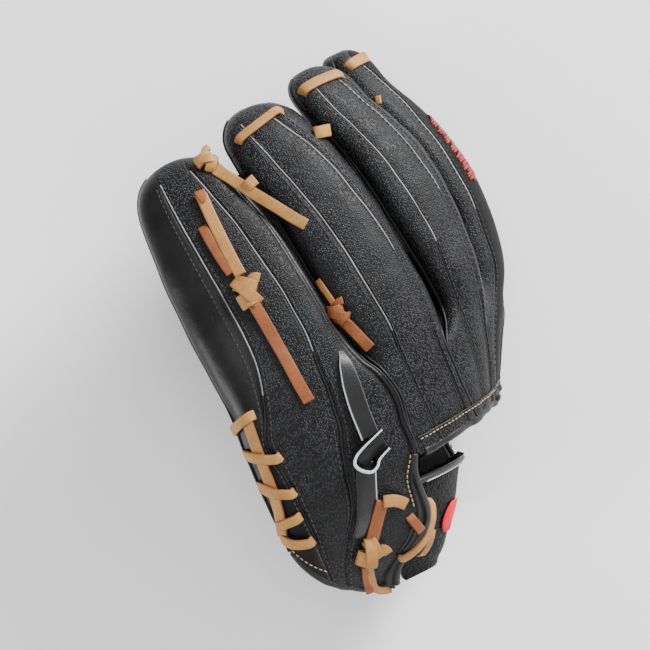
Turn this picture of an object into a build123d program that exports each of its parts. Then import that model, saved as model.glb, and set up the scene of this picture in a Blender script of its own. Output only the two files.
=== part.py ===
from build123d import *
from math import atan2, cos, pi, radians, sin, sqrt
import os

# A closed fielder's glove lying on the back of its thumb. Fingers point along +Y, the thumb side lies
# on Z = 0 and the back of the hand faces up. The wrist is at -Y, the web at +X and the pocket mouth at -X.
# All sizes are millimetres.

LEATHER = 3.2        # one shell skin with its lining
PANEL = 4.6          # a back panel with its backing
FELT = 5.0           # padding felt
GAP = 0.8            # free space left between neighbouring soft pieces
LACE_WIDTH = 5.4
LACE_THICK = 2.2
WELT = 1.5           # side of the square piping in a seam
CUFF_Y = -20.0       # where the stalls end and the back of the hand begins


def track(*knots):
    """A smooth curve of value against Y through (y, value) knots, flat past both ends."""
    ys = [k[0] for k in knots]
    vs = [k[1] for k in knots]
    slopes = []
    for i in range(len(ys)):
        low, high = max(i - 1, 0), min(i + 1, len(ys) - 1)
        slopes.append((vs[high] - vs[low]) / (ys[high] - ys[low]))

    def value(y):
        if y <= ys[0]:
            return vs[0]
        if y >= ys[-1]:
            return vs[-1]
        i = max(k for k in range(len(ys) - 1) if ys[k] <= y)
        span = ys[i + 1] - ys[i]
        t = (y - ys[i]) / span
        return (
            vs[i] * (1 + 2 * t) * (1 - t) ** 2
            + slopes[i] * span * t * (1 - t) ** 2
            + vs[i + 1] * t * t * (3 - 2 * t)
            + slopes[i + 1] * span * t * t * (t - 1)
        )

    return value


# The dome that the back of the fingers and the hand follows: a quarter ellipse in each XZ section,
# from a crest over the little finger to a vertical side past the index finger.
CREST_X = -72.0
crest_z = track((-142, 74), (-120, 98), (-90, 113), (-50, 124), (0, 129), (40, 127), (90, 119), (140, 104))
side_z = track((-142, 46), (-100, 42), (-50, 34), (0, 24), (40, 22), (90, 28), (140, 42))
side_x = track(
    (-142, -6), (-110, 20), (-80, 42), (-66, 52), (-40, 67), (-20, 79), (0, 88), (20, 92), (45, 94),
    (70, 91), (90, 85), (110, 76), (130, 65), (145, 56),
)


def dome(x, y):
    """Height of the dome at a place in plan."""
    if x < CREST_X:
        return crest_z(y) - (CREST_X - x) ** 2 / 60
    reach = min((x - CREST_X) / (side_x(y) - CREST_X), 1)
    return side_z(y) + (crest_z(y) - side_z(y)) * sqrt(1 - reach * reach)


def dome_roll(x, y):
    """How far the dome leans to +X at a place in plan, in radians."""
    return atan2(dome(x - 0.5, y) - dome(x + 0.5, y), 1)


# --- sections and the solids lofted through them ---------------------------------------------------


def ring(y, centre, half_width, half_height, roll, power, count=16):
    """A closed superellipse in the XZ plane at Y, rolled towards +X."""
    points = []
    for k in range(count):
        a = 2 * pi * (k + 0.5) / count
        across = half_width * abs(cos(a)) ** (2 / power) * (1 if cos(a) > 0 else -1)
        up = half_height * abs(sin(a)) ** (2 / power) * (1 if sin(a) > 0 else -1)
        x = centre[0] + across * cos(roll) + up * sin(roll)
        z = centre[1] - across * sin(roll) + up * cos(roll)
        points.append(Vector(x, y, z))
    if power > 2.6 or count < 16:
        return Wire.make_polygon(points, close=True)
    return Wire([Spline(points, periodic=True)])


def strip(y, line, thick):
    """A thin closed section at Y: a smooth line of (x, z) points and the same line pushed to its right."""
    upper = [Vector(x, y, z) for x, z in line]
    lower = []
    for i, p in enumerate(upper):
        along = upper[min(i + 1, len(upper) - 1)] - upper[max(i - 1, 0)]
        lower.append(p + Vector(along.Z, 0, -along.X).normalized() * thick)
    edges = [
        Spline(upper),
        Line(upper[-1], lower[-1]),
        Spline(lower[::-1]),
        Line(lower[0], upper[0]),
    ]
    return Wire(edges)


def lofted(sections):
    """One solid through a row of sections, straight between them."""
    return Solid.make_loft(sections, ruled=True)


def stations(start, end, count):
    return [start + (end - start) * k / (count - 1) for k in range(count)]


def ribbon(points, facing, width=LACE_WIDTH, thick=LACE_THICK):
    """A flat thong along points, its broad side towards facing, built of straight lofted runs."""
    path = [Vector(*p) for p in points]
    faces = [Vector(*f) for f in facing] if isinstance(facing[0], tuple) else [Vector(*facing)] * len(path)
    wires = []
    for i, p in enumerate(path):
        along = (path[min(i + 1, len(path) - 1)] - path[max(i - 1, 0)]).normalized()
        side = along.cross(faces[i]).normalized()
        up = side.cross(along).normalized()
        corners = [
            p + side * (sx * width / 2) + up * (sz * thick / 2)
            for sx, sz in ((-1, -1), (1, -1), (1, 1), (-1, 1))
        ]
        wires.append(Wire.make_polygon(corners, close=True))
    return Solid.make_loft(wires, ruled=True)


# --- finger stalls ---------------------------------------------------------------------------------

# Each stall is as wide in plan as its left and right tracks say; half is its half thickness.
FINGERS = {
    "pinky": dict(
        left=track((-20, -90), (0, -91), (30, -93), (55, -93.5), (80, -92.5), (100, -91), (126, -88)),
        right=track((-20, -13), (0, -16.5), (20, -18.5), (40, -20.5), (60, -23), (80, -27), (100, -33), (126, -38)),
        tip=125.5, tip_round=27, half=15,
    ),
    "ring": dict(
        left=track((-20, -11), (0, -14), (20, -16.5), (40, -18), (60, -20.5), (80, -24), (100, -29.5), (136, -32)),
        right=track((-20, 36), (0, 36.5), (20, 35), (40, 33.5), (60, 31), (80, 27.5), (100, 22), (115, 16), (136, 9)),
        tip=135.5, tip_round=22, half=15,
    ),
    "middle": dict(
        left=track((-20, 38.5), (0, 39), (20, 37.5), (40, 35.5), (60, 33), (80, 29.5), (100, 24), (115, 18), (141, 11)),
        right=track((-20, 64), (0, 68.5), (20, 71), (40, 71.5), (60, 70), (80, 66.5), (100, 59), (115, 52), (141, 45)),
        tip=141.5, tip_round=19, half=12.5,
    ),
}
INDEX = dict(
    middle_x=track((-20, 62.8), (0, 71.8), (20, 75.3), (40, 76.3), (60, 74.3), (80, 69.8), (100, 62.3), (120, 53.5), (143, 48)),
    middle_z=track((-20, 35.5), (0, 38.5), (40, 39.5), (80, 39.5), (100, 38.5), (120, 40), (143, 46)),
    roll=radians(68), half_width=18, tip=143.5, tip_round=20, half=12.5,
)
THUMB = dict(
    left=track((-20, -24), (20, -26), (60, -27), (80, -26)),
    right=track((-20, 40), (20, 37), (60, 31), (80, 28)),
    height=track((-20, 14.6), (40, 14.6), (80, 21)),
    tip=80, tip_round=26, half=13.6,
)


def tip_share(y, tip, tip_round):
    """How wide a stall is at Y as a share of its full width: 1 along it, rounding off at the tip."""
    left = (tip - y) / tip_round
    return 1.0 if left >= 1 else max(1 - (1 - left) ** 2.4, 0.0) ** (1 / 2.4)


def stall_shape(name, y):
    """Centre, half width, half height and roll of a stall's section at Y."""
    if name == "thumb":
        left, right = THUMB["left"](y), THUMB["right"](y)
        return ((left + right) / 2, THUMB["height"](y)), (right - left) / 2, THUMB["half"], 0.0
    if name == "index":
        centre = (INDEX["middle_x"](y), INDEX["middle_z"](y))
        return centre, INDEX["half_width"], INDEX["half"], INDEX["roll"]
    finger = FINGERS[name]
    left, right = finger["left"](y), finger["right"](y)
    x = (left + right) / 2
    roll = dome_roll(x, y)
    half = finger["half"]
    reach = (right - left) / 2
    half_width = sqrt(reach ** 2 - (half * sin(roll)) ** 2) / cos(roll)
    return (x, dome(x, y) - half / cos(roll)), half_width, half, roll


def stall_ring(name, y, inset=0.0):
    """A stall's section at Y, or one that lies inset inside it."""
    details = {"thumb": THUMB, "index": INDEX}.get(name) or FINGERS[name]
    centre, half_width, half, roll = stall_shape(name, y)
    share = max(tip_share(y, details["tip"] - inset, details["tip_round"]), 0.3)
    power = 3.0 if name == "thumb" else 2.5
    return ring(y, centre, (half_width - inset) * share, (half - inset) * (0.25 + 0.75 * share), roll, power)


def stall(name):
    """A stall's leather shell, open at its cuff, where the finger goes in."""
    details = {"thumb": THUMB, "index": INDEX}.get(name) or FINGERS[name]
    tip, tip_round = details["tip"], details["tip_round"]

    def body(inset, start):
        end = tip - inset
        ys = stations(start, end - tip_round, 5)
        ys += [end - tip_round * k for k in (0.5, 0.2, 0.03)]
        return lofted([stall_ring(name, y, inset) for y in ys])

    return body(0, CUFF_Y) - body(LEATHER, CUFF_Y - 6)


def finger_felt(name):
    """The felt tongue on the palm side inside a stall."""
    details = {"thumb": THUMB, "index": INDEX}.get(name) or FINGERS[name]
    sections = []
    for y in stations(CUFF_Y + 2, details["tip"] - details["tip_round"] - 6, 7):
        centre, half_width, half, roll = stall_shape(name, y)
        sign = 1 if name == "thumb" else -1
        depth = sign * (half - LEATHER - 3.8)
        middle = (centre[0] + depth * sin(roll), centre[1] + depth * cos(roll))
        sections.append(ring(y, middle, half_width * 0.44, 2.0, roll, 2.5, 12))
    return lofted(sections)



# --- surfaces that the panels and the laces follow -------------------------------------------------


def on_dome(x, y, lift=0.0):
    """A point on the dome, or lift outside it (inside where lift is negative)."""
    roll = dome_roll(x, y)
    return (x + lift * sin(roll), y, dome(x, y) + lift * cos(roll))


def dome_line(y, start, end, depth, count=8):
    """(x, z) points across the dome at Y from plan x start to end, depth below its surface."""
    line = []
    for x in stations(start, end, count):
        p = on_dome(x, y, -depth)
        line.append((p[0], p[2]))
    return line


def reach_x(share, y):
    """The plan x that lies a share of the way from the crest to the side."""
    return CREST_X + share * (side_x(y) - CREST_X)


def skin_z(x, y):
    """Height of the outside of the glove at a place in plan: a stall's top, or the dome behind the cuffs."""
    if y < CUFF_Y:
        return dome(x, y)
    best = None
    for name in ("pinky", "ring", "middle", "index"):
        details = INDEX if name == "index" else FINGERS[name]
        if y > details["tip"] - 1:
            continue
        centre, half_width, half, roll = stall_shape(name, y)
        share = max(tip_share(y, details["tip"], details["tip_round"]), 0.3)
        wide, high = half_width * share, half * (0.25 + 0.75 * share)
        previous = None
        for k in range(41):
            a = pi * k / 40
            across = wide * abs(cos(a)) ** 0.8 * (1 if cos(a) > 0 else -1)
            up = high * sin(a) ** 0.8
            px = centre[0] + across * cos(roll) + up * sin(roll)
            pz = centre[1] - across * sin(roll) + up * cos(roll)
            if previous and (previous[0] - x) * (px - x) <= 0 and px != previous[0]:
                t = (x - previous[0]) / (px - previous[0])
                z = previous[1] + t * (pz - previous[1])
                best = z if best is None else max(best, z)
            previous = (px, pz)
    return dome(x, y) - 12 if best is None else best


def laid(points, lift=0.0, width=LACE_WIDTH, thick=LACE_THICK):
    """A thong lying on the outside along plan points, a little above the leather."""
    rest = lift + thick / 2 + 1.0
    path = []
    facing = []
    for x, y in points:
        roll = dome_roll(x, y)
        path.append((x + rest * sin(roll), y, skin_z(x, y) + rest * cos(roll)))
        facing.append((sin(roll), 0.0, cos(roll)))
    return ribbon(path, facing, width, thick)


def panel(left, right, ys, depth=0.0, thick=PANEL):
    """A panel on the dome between two plan curves."""
    return lofted([strip(y, dome_line(y, left(y), right(y), depth), thick) for y in ys])


def knot(x, y, lift, size, turn=0.0):
    """A rounded block of folded thong lying on the outside, long across its turn."""
    long, wide, high = size
    rolled = dome_roll(x, y)
    block = Box(long, wide, high)
    block = fillet(block.edges(), min(size) * 0.3)
    place = Location((x, y, skin_z(x, y) + lift + high / 2 + 1.2))
    return place * Rot(0, rolled * 180 / pi, 0) * Rot(0, 0, turn) * block


def rod(points, radius):
    """A round binding through points."""
    path = Spline([Vector(*p) for p in points])
    return sweep((path ^ 0) * Circle(radius), path=path)


# --- the pieces ------------------------------------------------------------------------------------

seam_a = track((-76, -9), (-60, -8), (-48, -6), (-38, -6.5), (-28, -9), (-20, -13.5))
PARTS = {}

# Stalls and the felt inside each.
for name in ("pinky", "ring", "middle", "index", "thumb"):
    PARTS["stall_" + name] = stall(name)
    PARTS["felt_" + name] = finger_felt(name)

# Back panels: the pinky side is everything left of the seam under the ring finger's left side.
outer_left = track((-128, -66), (-122, -80), (-112, -89), (-100, -92.5), (-60, -92.5), (-40, -91.5), (-22, -90.5))
outer_right = track((-132, -66), (-120, -72), (-95, -73), (-35, -76.5), (-22, -72.5))
inner_right = track((-130, -60), (-112, -58), (-95, -53), (-72, -46), (-48, -39), (-22, -36))
cuff_ys = stations(CUFF_Y - 2, -126, 9)
PARTS["panel_pinky_outer"] = panel(outer_left, lambda y: outer_right(y) - GAP, cuff_ys)
PARTS["panel_pinky_back"] = panel(
    lambda y: outer_right(y) + GAP, lambda y: inner_right(y) - GAP, stations(CUFF_Y - 2, -122, 9)
)
PARTS["panel_centre"] = panel(
    lambda y: inner_right(y) + GAP, lambda y: seam_a(y) - 2, stations(CUFF_Y - 2, -77, 6)
)
heel_right = track((-142, -40), (-120, -35), (-100, -29), (-80, -20))
PARTS["panel_heel"] = panel(
    lambda y: inner_right(y) + GAP, heel_right, stations(-79.5, -141, 7)
)
seam_b = track((-76, 31), (-22, 31.5))
seam_c = track((-72, 36), (-60, 43), (-40, 49), (-22, 52.5))
PARTS["panel_ring"] = panel(lambda y: seam_a(y) + 2, lambda y: seam_b(y) - GAP, stations(CUFF_Y - 2, -75, 6))
PARTS["panel_middle"] = panel(lambda y: seam_b(y) + GAP, lambda y: seam_c(y) - GAP, stations(CUFF_Y - 2, -71, 6))
PARTS["panel_index"] = panel(
    lambda y: seam_c(y) + 1.5, lambda y: reach_x(0.999, y), stations(CUFF_Y - 2, -64, 6)
)

# Linings under the back panels.
PARTS["lining_back"] = panel(lambda y: 2, lambda y: 44, stations(CUFF_Y - 4, -66, 5), depth=PANEL + 0.6, thick=1.6)
PARTS["lining_pinky"] = panel(lambda y: -84, lambda y: -20, stations(CUFF_Y - 4, -76, 5), depth=PANEL + 0.6, thick=1.6)

# Palm leather facing the pocket, in three pieces that meet at the two folds.
PALM_DEPTH = 33.0
palm_ys = stations(22, -118, 9)
PARTS["palm_pinky"] = panel(lambda y: -86, lambda y: -17, palm_ys, depth=PALM_DEPTH, thick=LEATHER)
PARTS["palm_fingers"] = panel(
    lambda y: -7, lambda y: reach_x(0.97, y), stations(22, -84, 8), depth=PALM_DEPTH, thick=LEATHER
)
PARTS["felt_palm"] = panel(
    lambda y: 0, lambda y: reach_x(0.8, y), stations(CUFF_Y - 4, -70, 5), depth=PALM_DEPTH - 5.6, thick=FELT
)
PARTS["felt_heel_pinky"] = panel(
    lambda y: -82, lambda y: -28, stations(CUFF_Y - 4, -112, 6), depth=PALM_DEPTH - 5.6, thick=FELT
)

# The fold line of the pocket, near the base of the web.
HINGE = (50.0, 0.0, 32.0)
HINGE_LEAN = 0.27


def fold_x(y):
    return HINGE[0] + HINGE_LEAN * y


def thumb_left(y):
    return track((-128, -20), (-118, -34), (-100, -42), (-60, -38), (-20, -28), (25, -27))(y)


def thumb_strip(ys, left, right, height, thick, curl=0.0):
    sections = []
    for y in ys:
        a, b = left(y), right(y)
        line = []
        for t in stations(0, 1, 9):
            line.append((a + (b - a) * t, height + curl * (2 * t - 1) ** 4))
        sections.append(strip(y, line, thick))
    return lofted(sections)


# How far the wrist reaches to the web side, which everything at the wrist stays within.
wrist_x = track(
    (-142, -25), (-136, -17), (-128, -10.5), (-116, 0), (-110, 4), (-103, 8), (-96, 12.5), (-91, 15),
    (-84, 14.5), (-79, 17), (-74, 28), (-68, 46), (-60, 60))

thumb_ys = stations(22, -122, 10)
PARTS["palm_thumb"] = thumb_strip(
    thumb_ys, thumb_left, lambda y: min(fold_x(y) - 8, wrist_x(y) - 4), 36.5, LEATHER
)
PARTS["felt_heel_thumb"] = thumb_strip(
    stations(-26, -114, 7), lambda y: thumb_left(y) + 5, lambda y: min(fold_x(y) - 14, wrist_x(y) - 9), 32.6, 8
)
PARTS["back_thumb"] = thumb_strip(
    stations(CUFF_Y - 2, -122, 9), thumb_left, lambda y: min(fold_x(y) - 4, wrist_x(y) - 2), 3.6, LEATHER, curl=7
)
web_left = track((24, 38), (60, 34), (76, 28), (84, 12), (112, 2))
PARTS["web_thumb"] = thumb_strip(
    stations(24, 112, 9), web_left, lambda y: min(fold_x(y) - 8, 90 - 0.55 * y), 32, LEATHER
)
PARTS["web_index"] = panel(
    lambda y: reach_x(0.86, y), lambda y: reach_x(0.985, y), stations(24, 112, 7), depth=31, thick=LEATHER
)



def around_fold(y, start, end, wide, high, count=7):
    """(x, z) points on an ellipse about the fold line at Y, from one angle to another in degrees."""
    line = []
    for a in stations(radians(start), radians(end), count):
        line.append((fold_x(y) + wide * cos(a), HINGE[2] + high * sin(a)))
    return line


gusset_wide = track((-64, 14), (-44, 22), (-22, 27))
sections = [strip(y, around_fold(y, -88, -22, gusset_wide(y), 25), -LEATHER) for y in stations(-23, -64, 5)]
PARTS["gusset_thumb"] = lofted(sections)
sections = []
for y in stations(-93, -120, 5):
    line = []
    for a in stations(radians(-58), radians(-10), 7):
        line.append((wrist_x(y) - 10 + 9 * cos(a), HINGE[2] + 24 * sin(a)))
    sections.append(strip(y, line, -LEATHER))
PARTS["strap_thumb"] = lofted(sections)

# The wrist strap: an outer band and its lining, over the wrist and down its side.
strap_left = track((-134, -34), (-120, -36), (-100, -24), (-93, -12))


def strap_line(y, left, inset):
    """(x, z) points over the wrist at Y from the left edge down to the side, lying inset inside the strap."""
    right = wrist_x(y) - inset
    line = []
    for t in stations(0, pi / 2, 10):
        x = left + (right - left) * sin(t)
        reach = (x - CREST_X) / (right + 0.6 - CREST_X)
        line.append((x, 34 + (crest_z(y) - 39.5 - inset) * sqrt(1 - reach ** 2.6)))
    return line


PARTS["wrist_strap"] = lofted([strip(y, strap_line(y, strap_left(y) + 9, 0), 3.4) for y in stations(-93, -136, 8)])
PARTS["strap_lining"] = lofted([strip(y, strap_line(y, strap_left(y) + 12, 4.2), 1.6) for y in stations(-95, -132, 7)])

# Rolled bindings along the edges of the back opening and of the heel.
PARTS["binding_back"] = rod(
    [on_dome(x, y, -2.5) for x, y in ((47, -74.5), (40, -76), (30, -77.8), (20, -79.2), (8, -80.6), (-3, -81.5))], 1.9
)
PARTS["binding_heel"] = rod(
    [on_dome(x, y, -2.5) for x, y in ((-95.6, -98), (-92.6, -113), (-84, -125), (-73, -130), (-64, -131.5))], 1.9
)

# Laces through the fingertips.
PARTS["lace_tip_ring"] = laid([(-24, 119.5), (-17, 121.2), (-10, 122.4), (-3, 124), (3, 124.6)], lift=0.6, width=4.6)
PARTS["lace_tip_middle"] = laid([(20, 127), (26, 128.5), (33, 129), (39, 128.5)], lift=1.2, width=5.6)
PARTS["lace_tip_index"] = laid([(50, 129), (55, 128), (60, 126.5)], lift=1.2, width=5.6)

# Laces of the pinky side.
PARTS["knot_tip_pinky"] = knot(-46, 109, 1.2, (9, 8, 5))
PARTS["lace_finger_tie"] = laid([(-33, 100), (-27, 92), (-21, 82), (-14, 72)], lift=8, width=6.4)
PARTS["lace_loop_top"] = laid([(-53.5, 102), (-53.5, 90), (-53.3, 75), (-53, 58)], width=6.4)
PARTS["lace_loop_side"] = laid([(-63, 84), (-62.4, 70), (-61.6, 58)], width=4.4)
PARTS["knot_loop"] = knot(-54, 43, 0, (15, 22, 8))
PARTS["lace_loop_tail"] = laid([(-52.6, 29), (-52.4, 14), (-52, 0), (-50.5, -14), (-48.5, -27)], width=6.4)
PARTS["knot_valley"] = knot(-19.5, 9.5, 6, (7, 13, 5))
PARTS["lace_valley_tail"] = laid([(-22, -2), (-24, -9), (-26, -16)], lift=1, width=5.6)
PARTS["lace_pull"] = laid([(-22, -24), (-26, -35), (-30, -48), (-33, -60), (-34, -72), (-35, -77)], width=9)
PARTS["lace_wrist"] = laid([(-32, -96), (-38, -99), (-45, -104), (-48, -107)], lift=0.8, width=5.6)
PARTS["knot_wrist"] = knot(-54, -116, 3.5, (16, 11, 7), turn=-30)
PARTS["lace_heel_edge"] = laid([(-84.5, -25), (-85.5, -45), (-86.5, -65), (-88, -84)], width=4.6)
for k, (a, b) in enumerate((((-91.5, -27), (-80, -22)), ((-91.5, -41), (-77, -48)), ((-91.5, -60), (-78, -68)))):
    middle = ((a[0] + b[0]) / 2, (a[1] + b[1]) / 2)
    PARTS["lace_heel_%d" % (k + 1)] = laid([a, middle, b], lift=3.2, width=5)
PARTS["lace_heel_4"] = laid([(-91, -92), (-86, -94.5), (-80, -97)], width=5)

# Laces of the wrist strap.
PARTS["lace_strap_top"] = ribbon(
    [(x, y, strap_line(y, x, 0)[0][1] + 4.8) for x, y in ((-11, -107), (-13, -115), (-18, -121), (-24, -125))],
    (0.5, 0, 0.85), 5, LACE_THICK
)
PARTS["lace_web"] = ribbon(
    [on_dome(reach_x(0.88 + 0.02 * k, 116), 116, -32.6) for k in range(5)], (0.9, 0, 0.4), 4, LACE_THICK
)

# Everything sits centred on the origin, on Z = 0.
boxes = [shape.bounding_box() for shape in PARTS.values()]
low = Vector(*(min(getattr(b.min, c) for b in boxes) for c in "XYZ"))
high = Vector(*(max(getattr(b.max, c) for b in boxes) for c in "XYZ"))
SHIFT = Vector(-(low.X + high.X) / 2, -(low.Y + high.Y) / 2, -low.Z)

os.makedirs("parts", exist_ok=True)
for name, shape in PARTS.items():
    export_step(Pos(SHIFT.X, SHIFT.Y, SHIFT.Z) * shape, "parts/%s.step" % name)
print("shift", SHIFT, "size", high - low)
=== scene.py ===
import bpy
import numpy as np
from math import cos, pi, radians, sin
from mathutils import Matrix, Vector
from mathutils.bvhtree import BVHTree


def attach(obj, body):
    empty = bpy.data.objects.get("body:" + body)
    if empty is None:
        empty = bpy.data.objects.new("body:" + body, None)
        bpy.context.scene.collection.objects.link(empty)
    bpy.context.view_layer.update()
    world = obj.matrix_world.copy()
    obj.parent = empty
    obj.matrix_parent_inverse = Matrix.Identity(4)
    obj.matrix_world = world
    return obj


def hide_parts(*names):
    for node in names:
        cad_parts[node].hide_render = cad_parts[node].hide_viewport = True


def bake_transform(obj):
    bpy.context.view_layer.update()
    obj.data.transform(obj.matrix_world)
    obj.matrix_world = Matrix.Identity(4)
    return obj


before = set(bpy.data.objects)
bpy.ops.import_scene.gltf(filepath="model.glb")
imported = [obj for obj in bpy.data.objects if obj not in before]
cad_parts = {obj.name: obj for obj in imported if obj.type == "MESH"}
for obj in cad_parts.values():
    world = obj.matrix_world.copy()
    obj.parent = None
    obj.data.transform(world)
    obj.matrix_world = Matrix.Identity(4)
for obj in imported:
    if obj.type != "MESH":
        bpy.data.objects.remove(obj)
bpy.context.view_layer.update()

# Shapes are worked out in millimetres about the glove's own middle, then moved by gloveShift into the
# frame and turned into metres. Fingers point along +Y, the web is at +X, the back of the hand faces +Z.
gloveShift = np.array([3.14206, -0.95, -0.39888])
hand, pinky, thumbBody = "hand_side", "pinky_side", "thumb_side"


# curves against Y and small vector sums

def track(*knots):
    # a smooth value against y through the knots, flat past both ends
    ys = np.array([k[0] for k in knots], float)
    vs = np.array([k[1] for k in knots], float)
    low, high = np.maximum(np.arange(len(ys)) - 1, 0), np.minimum(np.arange(len(ys)) + 1, len(ys) - 1)
    slope = (vs[high] - vs[low]) / (ys[high] - ys[low])

    def value(y):
        y = np.clip(np.asarray(y, float), ys[0], ys[-1])
        i = np.clip(np.searchsorted(ys, y, "right") - 1, 0, len(ys) - 2)
        span = ys[i + 1] - ys[i]
        t = (y - ys[i]) / span
        return (vs[i] * (1 + 2 * t) * (1 - t) ** 2 + slope[i] * span * t * (1 - t) ** 2
                + vs[i + 1] * t * t * (3 - 2 * t) + slope[i + 1] * span * t * t * (t - 1))

    return value


def smoothStep(v, low, high):
    t = np.clip((v - low) / (high - low), 0, 1)
    return t * t * (3 - 2 * t)


def unit(v):
    return v / np.maximum(np.linalg.norm(v, axis=-1, keepdims=True), 1e-9)


def stack(x, y, z):
    return np.stack(np.broadcast_arrays(x, y, z), axis=-1).astype(float)


def lengthsAlong(path):
    return np.concatenate([[0], np.cumsum(np.linalg.norm(np.diff(path, axis=0), axis=1))])


def readAt(places, lengths, values):
    # rows of values read at places along a path
    return np.stack([np.interp(places, lengths, v) for v in values.T], axis=-1)


def blur(values, count):
    # a running mean over an odd count of rows, the ends held
    rows = values if values.ndim == 2 else values[:, None]
    padded = [np.pad(v, count // 2, "edge") for v in rows.T]
    smooth = np.stack([np.convolve(v, np.ones(count) / count, "valid") for v in padded], axis=-1)
    return smooth.reshape(values.shape)


def ripple(p, size, seed):
    # three slow sine waves in different directions: uneven like worked leather, the same each run
    total = 0
    for k in range(3):
        a = seed * 1.7 + k * 2.1
        way = np.array([cos(a), sin(a), 0.4 * sin(a * 1.3)])
        total = total + np.sin((p @ way) / size * (1 + 0.45 * k) + seed * (k + 1))
    return total / 3


# the dome that the back follows: a quarter ellipse across, from the crest to the vertical side

crestX = -72.0
crestZ = track((-142, 74), (-120, 98), (-90, 113), (-50, 124), (0, 129), (40, 127), (90, 119), (140, 104))
sideZ = track((-142, 46), (-100, 42), (-50, 34), (0, 24), (40, 22), (90, 28), (140, 42))
sideX = track(
    (-142, -6), (-110, 20), (-80, 42), (-66, 52), (-40, 67), (-20, 79), (0, 88), (20, 92), (45, 94),
    (70, 91), (90, 85), (110, 76), (130, 65), (145, 56))


def domeZ(x, y):
    reach = np.clip((x - crestX) / (sideX(y) - crestX), 0, 0.9995)
    z = sideZ(y) + (crestZ(y) - sideZ(y)) * np.sqrt(1 - reach * reach)
    return z - np.clip(crestX - x, 0, None) ** 2 / 60


def domeRoll(x, y):
    return np.arctan2(domeZ(x - 0.5, y) - domeZ(x + 0.5, y), 1)


def onDome(x, y, lift=0.0):
    roll = domeRoll(x, y)
    return stack(x + lift * np.sin(roll), y, domeZ(x, y) + lift * np.cos(roll))


def foldX(y):
    return 50 + 0.27 * y   # the fold line of the pocket, at height foldZ


foldZ = 32.0


# meshes

def inMetres(points):
    return (np.asarray(points) + gloveShift) * 0.001


def inFrame(x, y, z):
    return tuple(inMetres([x, y, z]))


def makeMesh(name, verts, faces, material):
    mesh = bpy.data.meshes.new(name)
    mesh.from_pydata(inMetres(verts).tolist(), [], faces.tolist() if hasattr(faces, "tolist") else faces)
    mesh.polygons.foreach_set("use_smooth", np.ones(len(mesh.polygons), bool))
    thing = bpy.data.objects.new(name, mesh)
    bpy.context.collection.objects.link(thing)
    for m in material if isinstance(material, (list, tuple)) else [material]:
        mesh.materials.append(m)
    mesh.update()
    return thing


def gridFaces(rows, cols, closed=False):
    # quads between neighbouring rows and columns of a grid, the last column joined to the first if closed
    r = np.arange(rows - 1)[:, None]
    c = np.arange(cols if closed else cols - 1)[None, :]
    n = (c + 1) % cols
    quads = np.stack([r * cols + c, r * cols + n, (r + 1) * cols + n, (r + 1) * cols + c], axis=-1)
    return quads.reshape(-1, 4)


def surfaceNormals(grid, closed=False):
    # unit normals of a grid from the cross product of its two directions
    along = np.gradient(grid, axis=0)
    across = (np.roll(grid, -1, 1) - np.roll(grid, 1, 1)) if closed else np.gradient(grid, axis=1)
    return unit(np.cross(across, along))


def gridPiece(name, grid, material, closed=False, faceMaterial=None, flip=False):
    rows, cols = grid.shape[:2]
    faces = gridFaces(rows, cols, closed)
    if flip:
        faces = faces[:, ::-1]
    thing = makeMesh(name, grid.reshape(-1, 3), faces, material)
    if faceMaterial is not None:
        thing.data.polygons.foreach_set("material_index", faceMaterial.astype(np.int32).ravel())
    return thing


def smoothPath(points, step=1.0):
    # a cubic through the points (Catmull-Rom), sampled evenly by length
    p = np.asarray(points, float)
    if len(p) == 2:
        p = np.array([p[0], (p[0] + p[1]) / 2, p[1]])
    ends = np.vstack([2 * p[0] - p[1], p, 2 * p[-1] - p[-2]])
    t = np.linspace(0, 1, 24, endpoint=False)[:, None]
    runs = []
    for a, b, c, d in zip(ends[:-3], ends[1:-2], ends[2:-1], ends[3:]):
        runs.append(0.5 * (2 * b + (c - a) * t + (2 * a - 5 * b + 4 * c - d) * t ** 2
                           + (3 * b - a - 3 * c + d) * t ** 3))
    fine = np.vstack(runs + [p[-1:]])
    far = lengthsAlong(fine)
    return readAt(np.linspace(0, far[-1], max(int(far[-1] / step), 3) + 1), far, fine)


def sweptFaces(rows, cols):
    # the swept tube's quads and one face closing each end
    faces = gridFaces(rows, cols, True)[:, ::-1].tolist()
    return faces + [list(range(cols)), list(range(rows * cols - 1, (rows - 1) * cols - 1, -1))]


def swept(path, ups, profile, scale=None):
    # a closed profile of (side, up) points carried along a path, its up direction given along the way
    along = unit(np.gradient(path, axis=0))
    side = unit(np.cross(along, ups))
    up = unit(np.cross(side, along))
    size = np.ones(len(path)) if scale is None else scale
    grid = path[:, None, :] + size[:, None, None] * (
        profile[None, :, :1] * side[:, None, :] + profile[None, :, 1:] * up[:, None, :])
    return grid.reshape(-1, 3), sweptFaces(*grid.shape[:2])


def joined(parts):
    # several (verts, faces) pairs as one
    verts, faces, start = [], [], 0
    for v, f in parts:
        verts.append(v)
        faces += [[i + start for i in face] for face in f]
        start += len(v)
    return np.vstack(verts), faces


def bulged(v, power):
    # a cosine or sine turned into the coordinate of a superellipse
    return np.sign(v) * np.abs(v) ** (2 / power)


def flatProfile(width, thick, count=18, power=5.0):
    # a thong's section: a superellipse, nearly a rectangle with rounded edges
    a = np.linspace(0, 2 * pi, count, endpoint=False) + pi / count
    return np.stack([bulged(np.cos(a), power) * width / 2, bulged(np.sin(a), power) * thick / 2], axis=-1)


# shader sums written as Python

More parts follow.
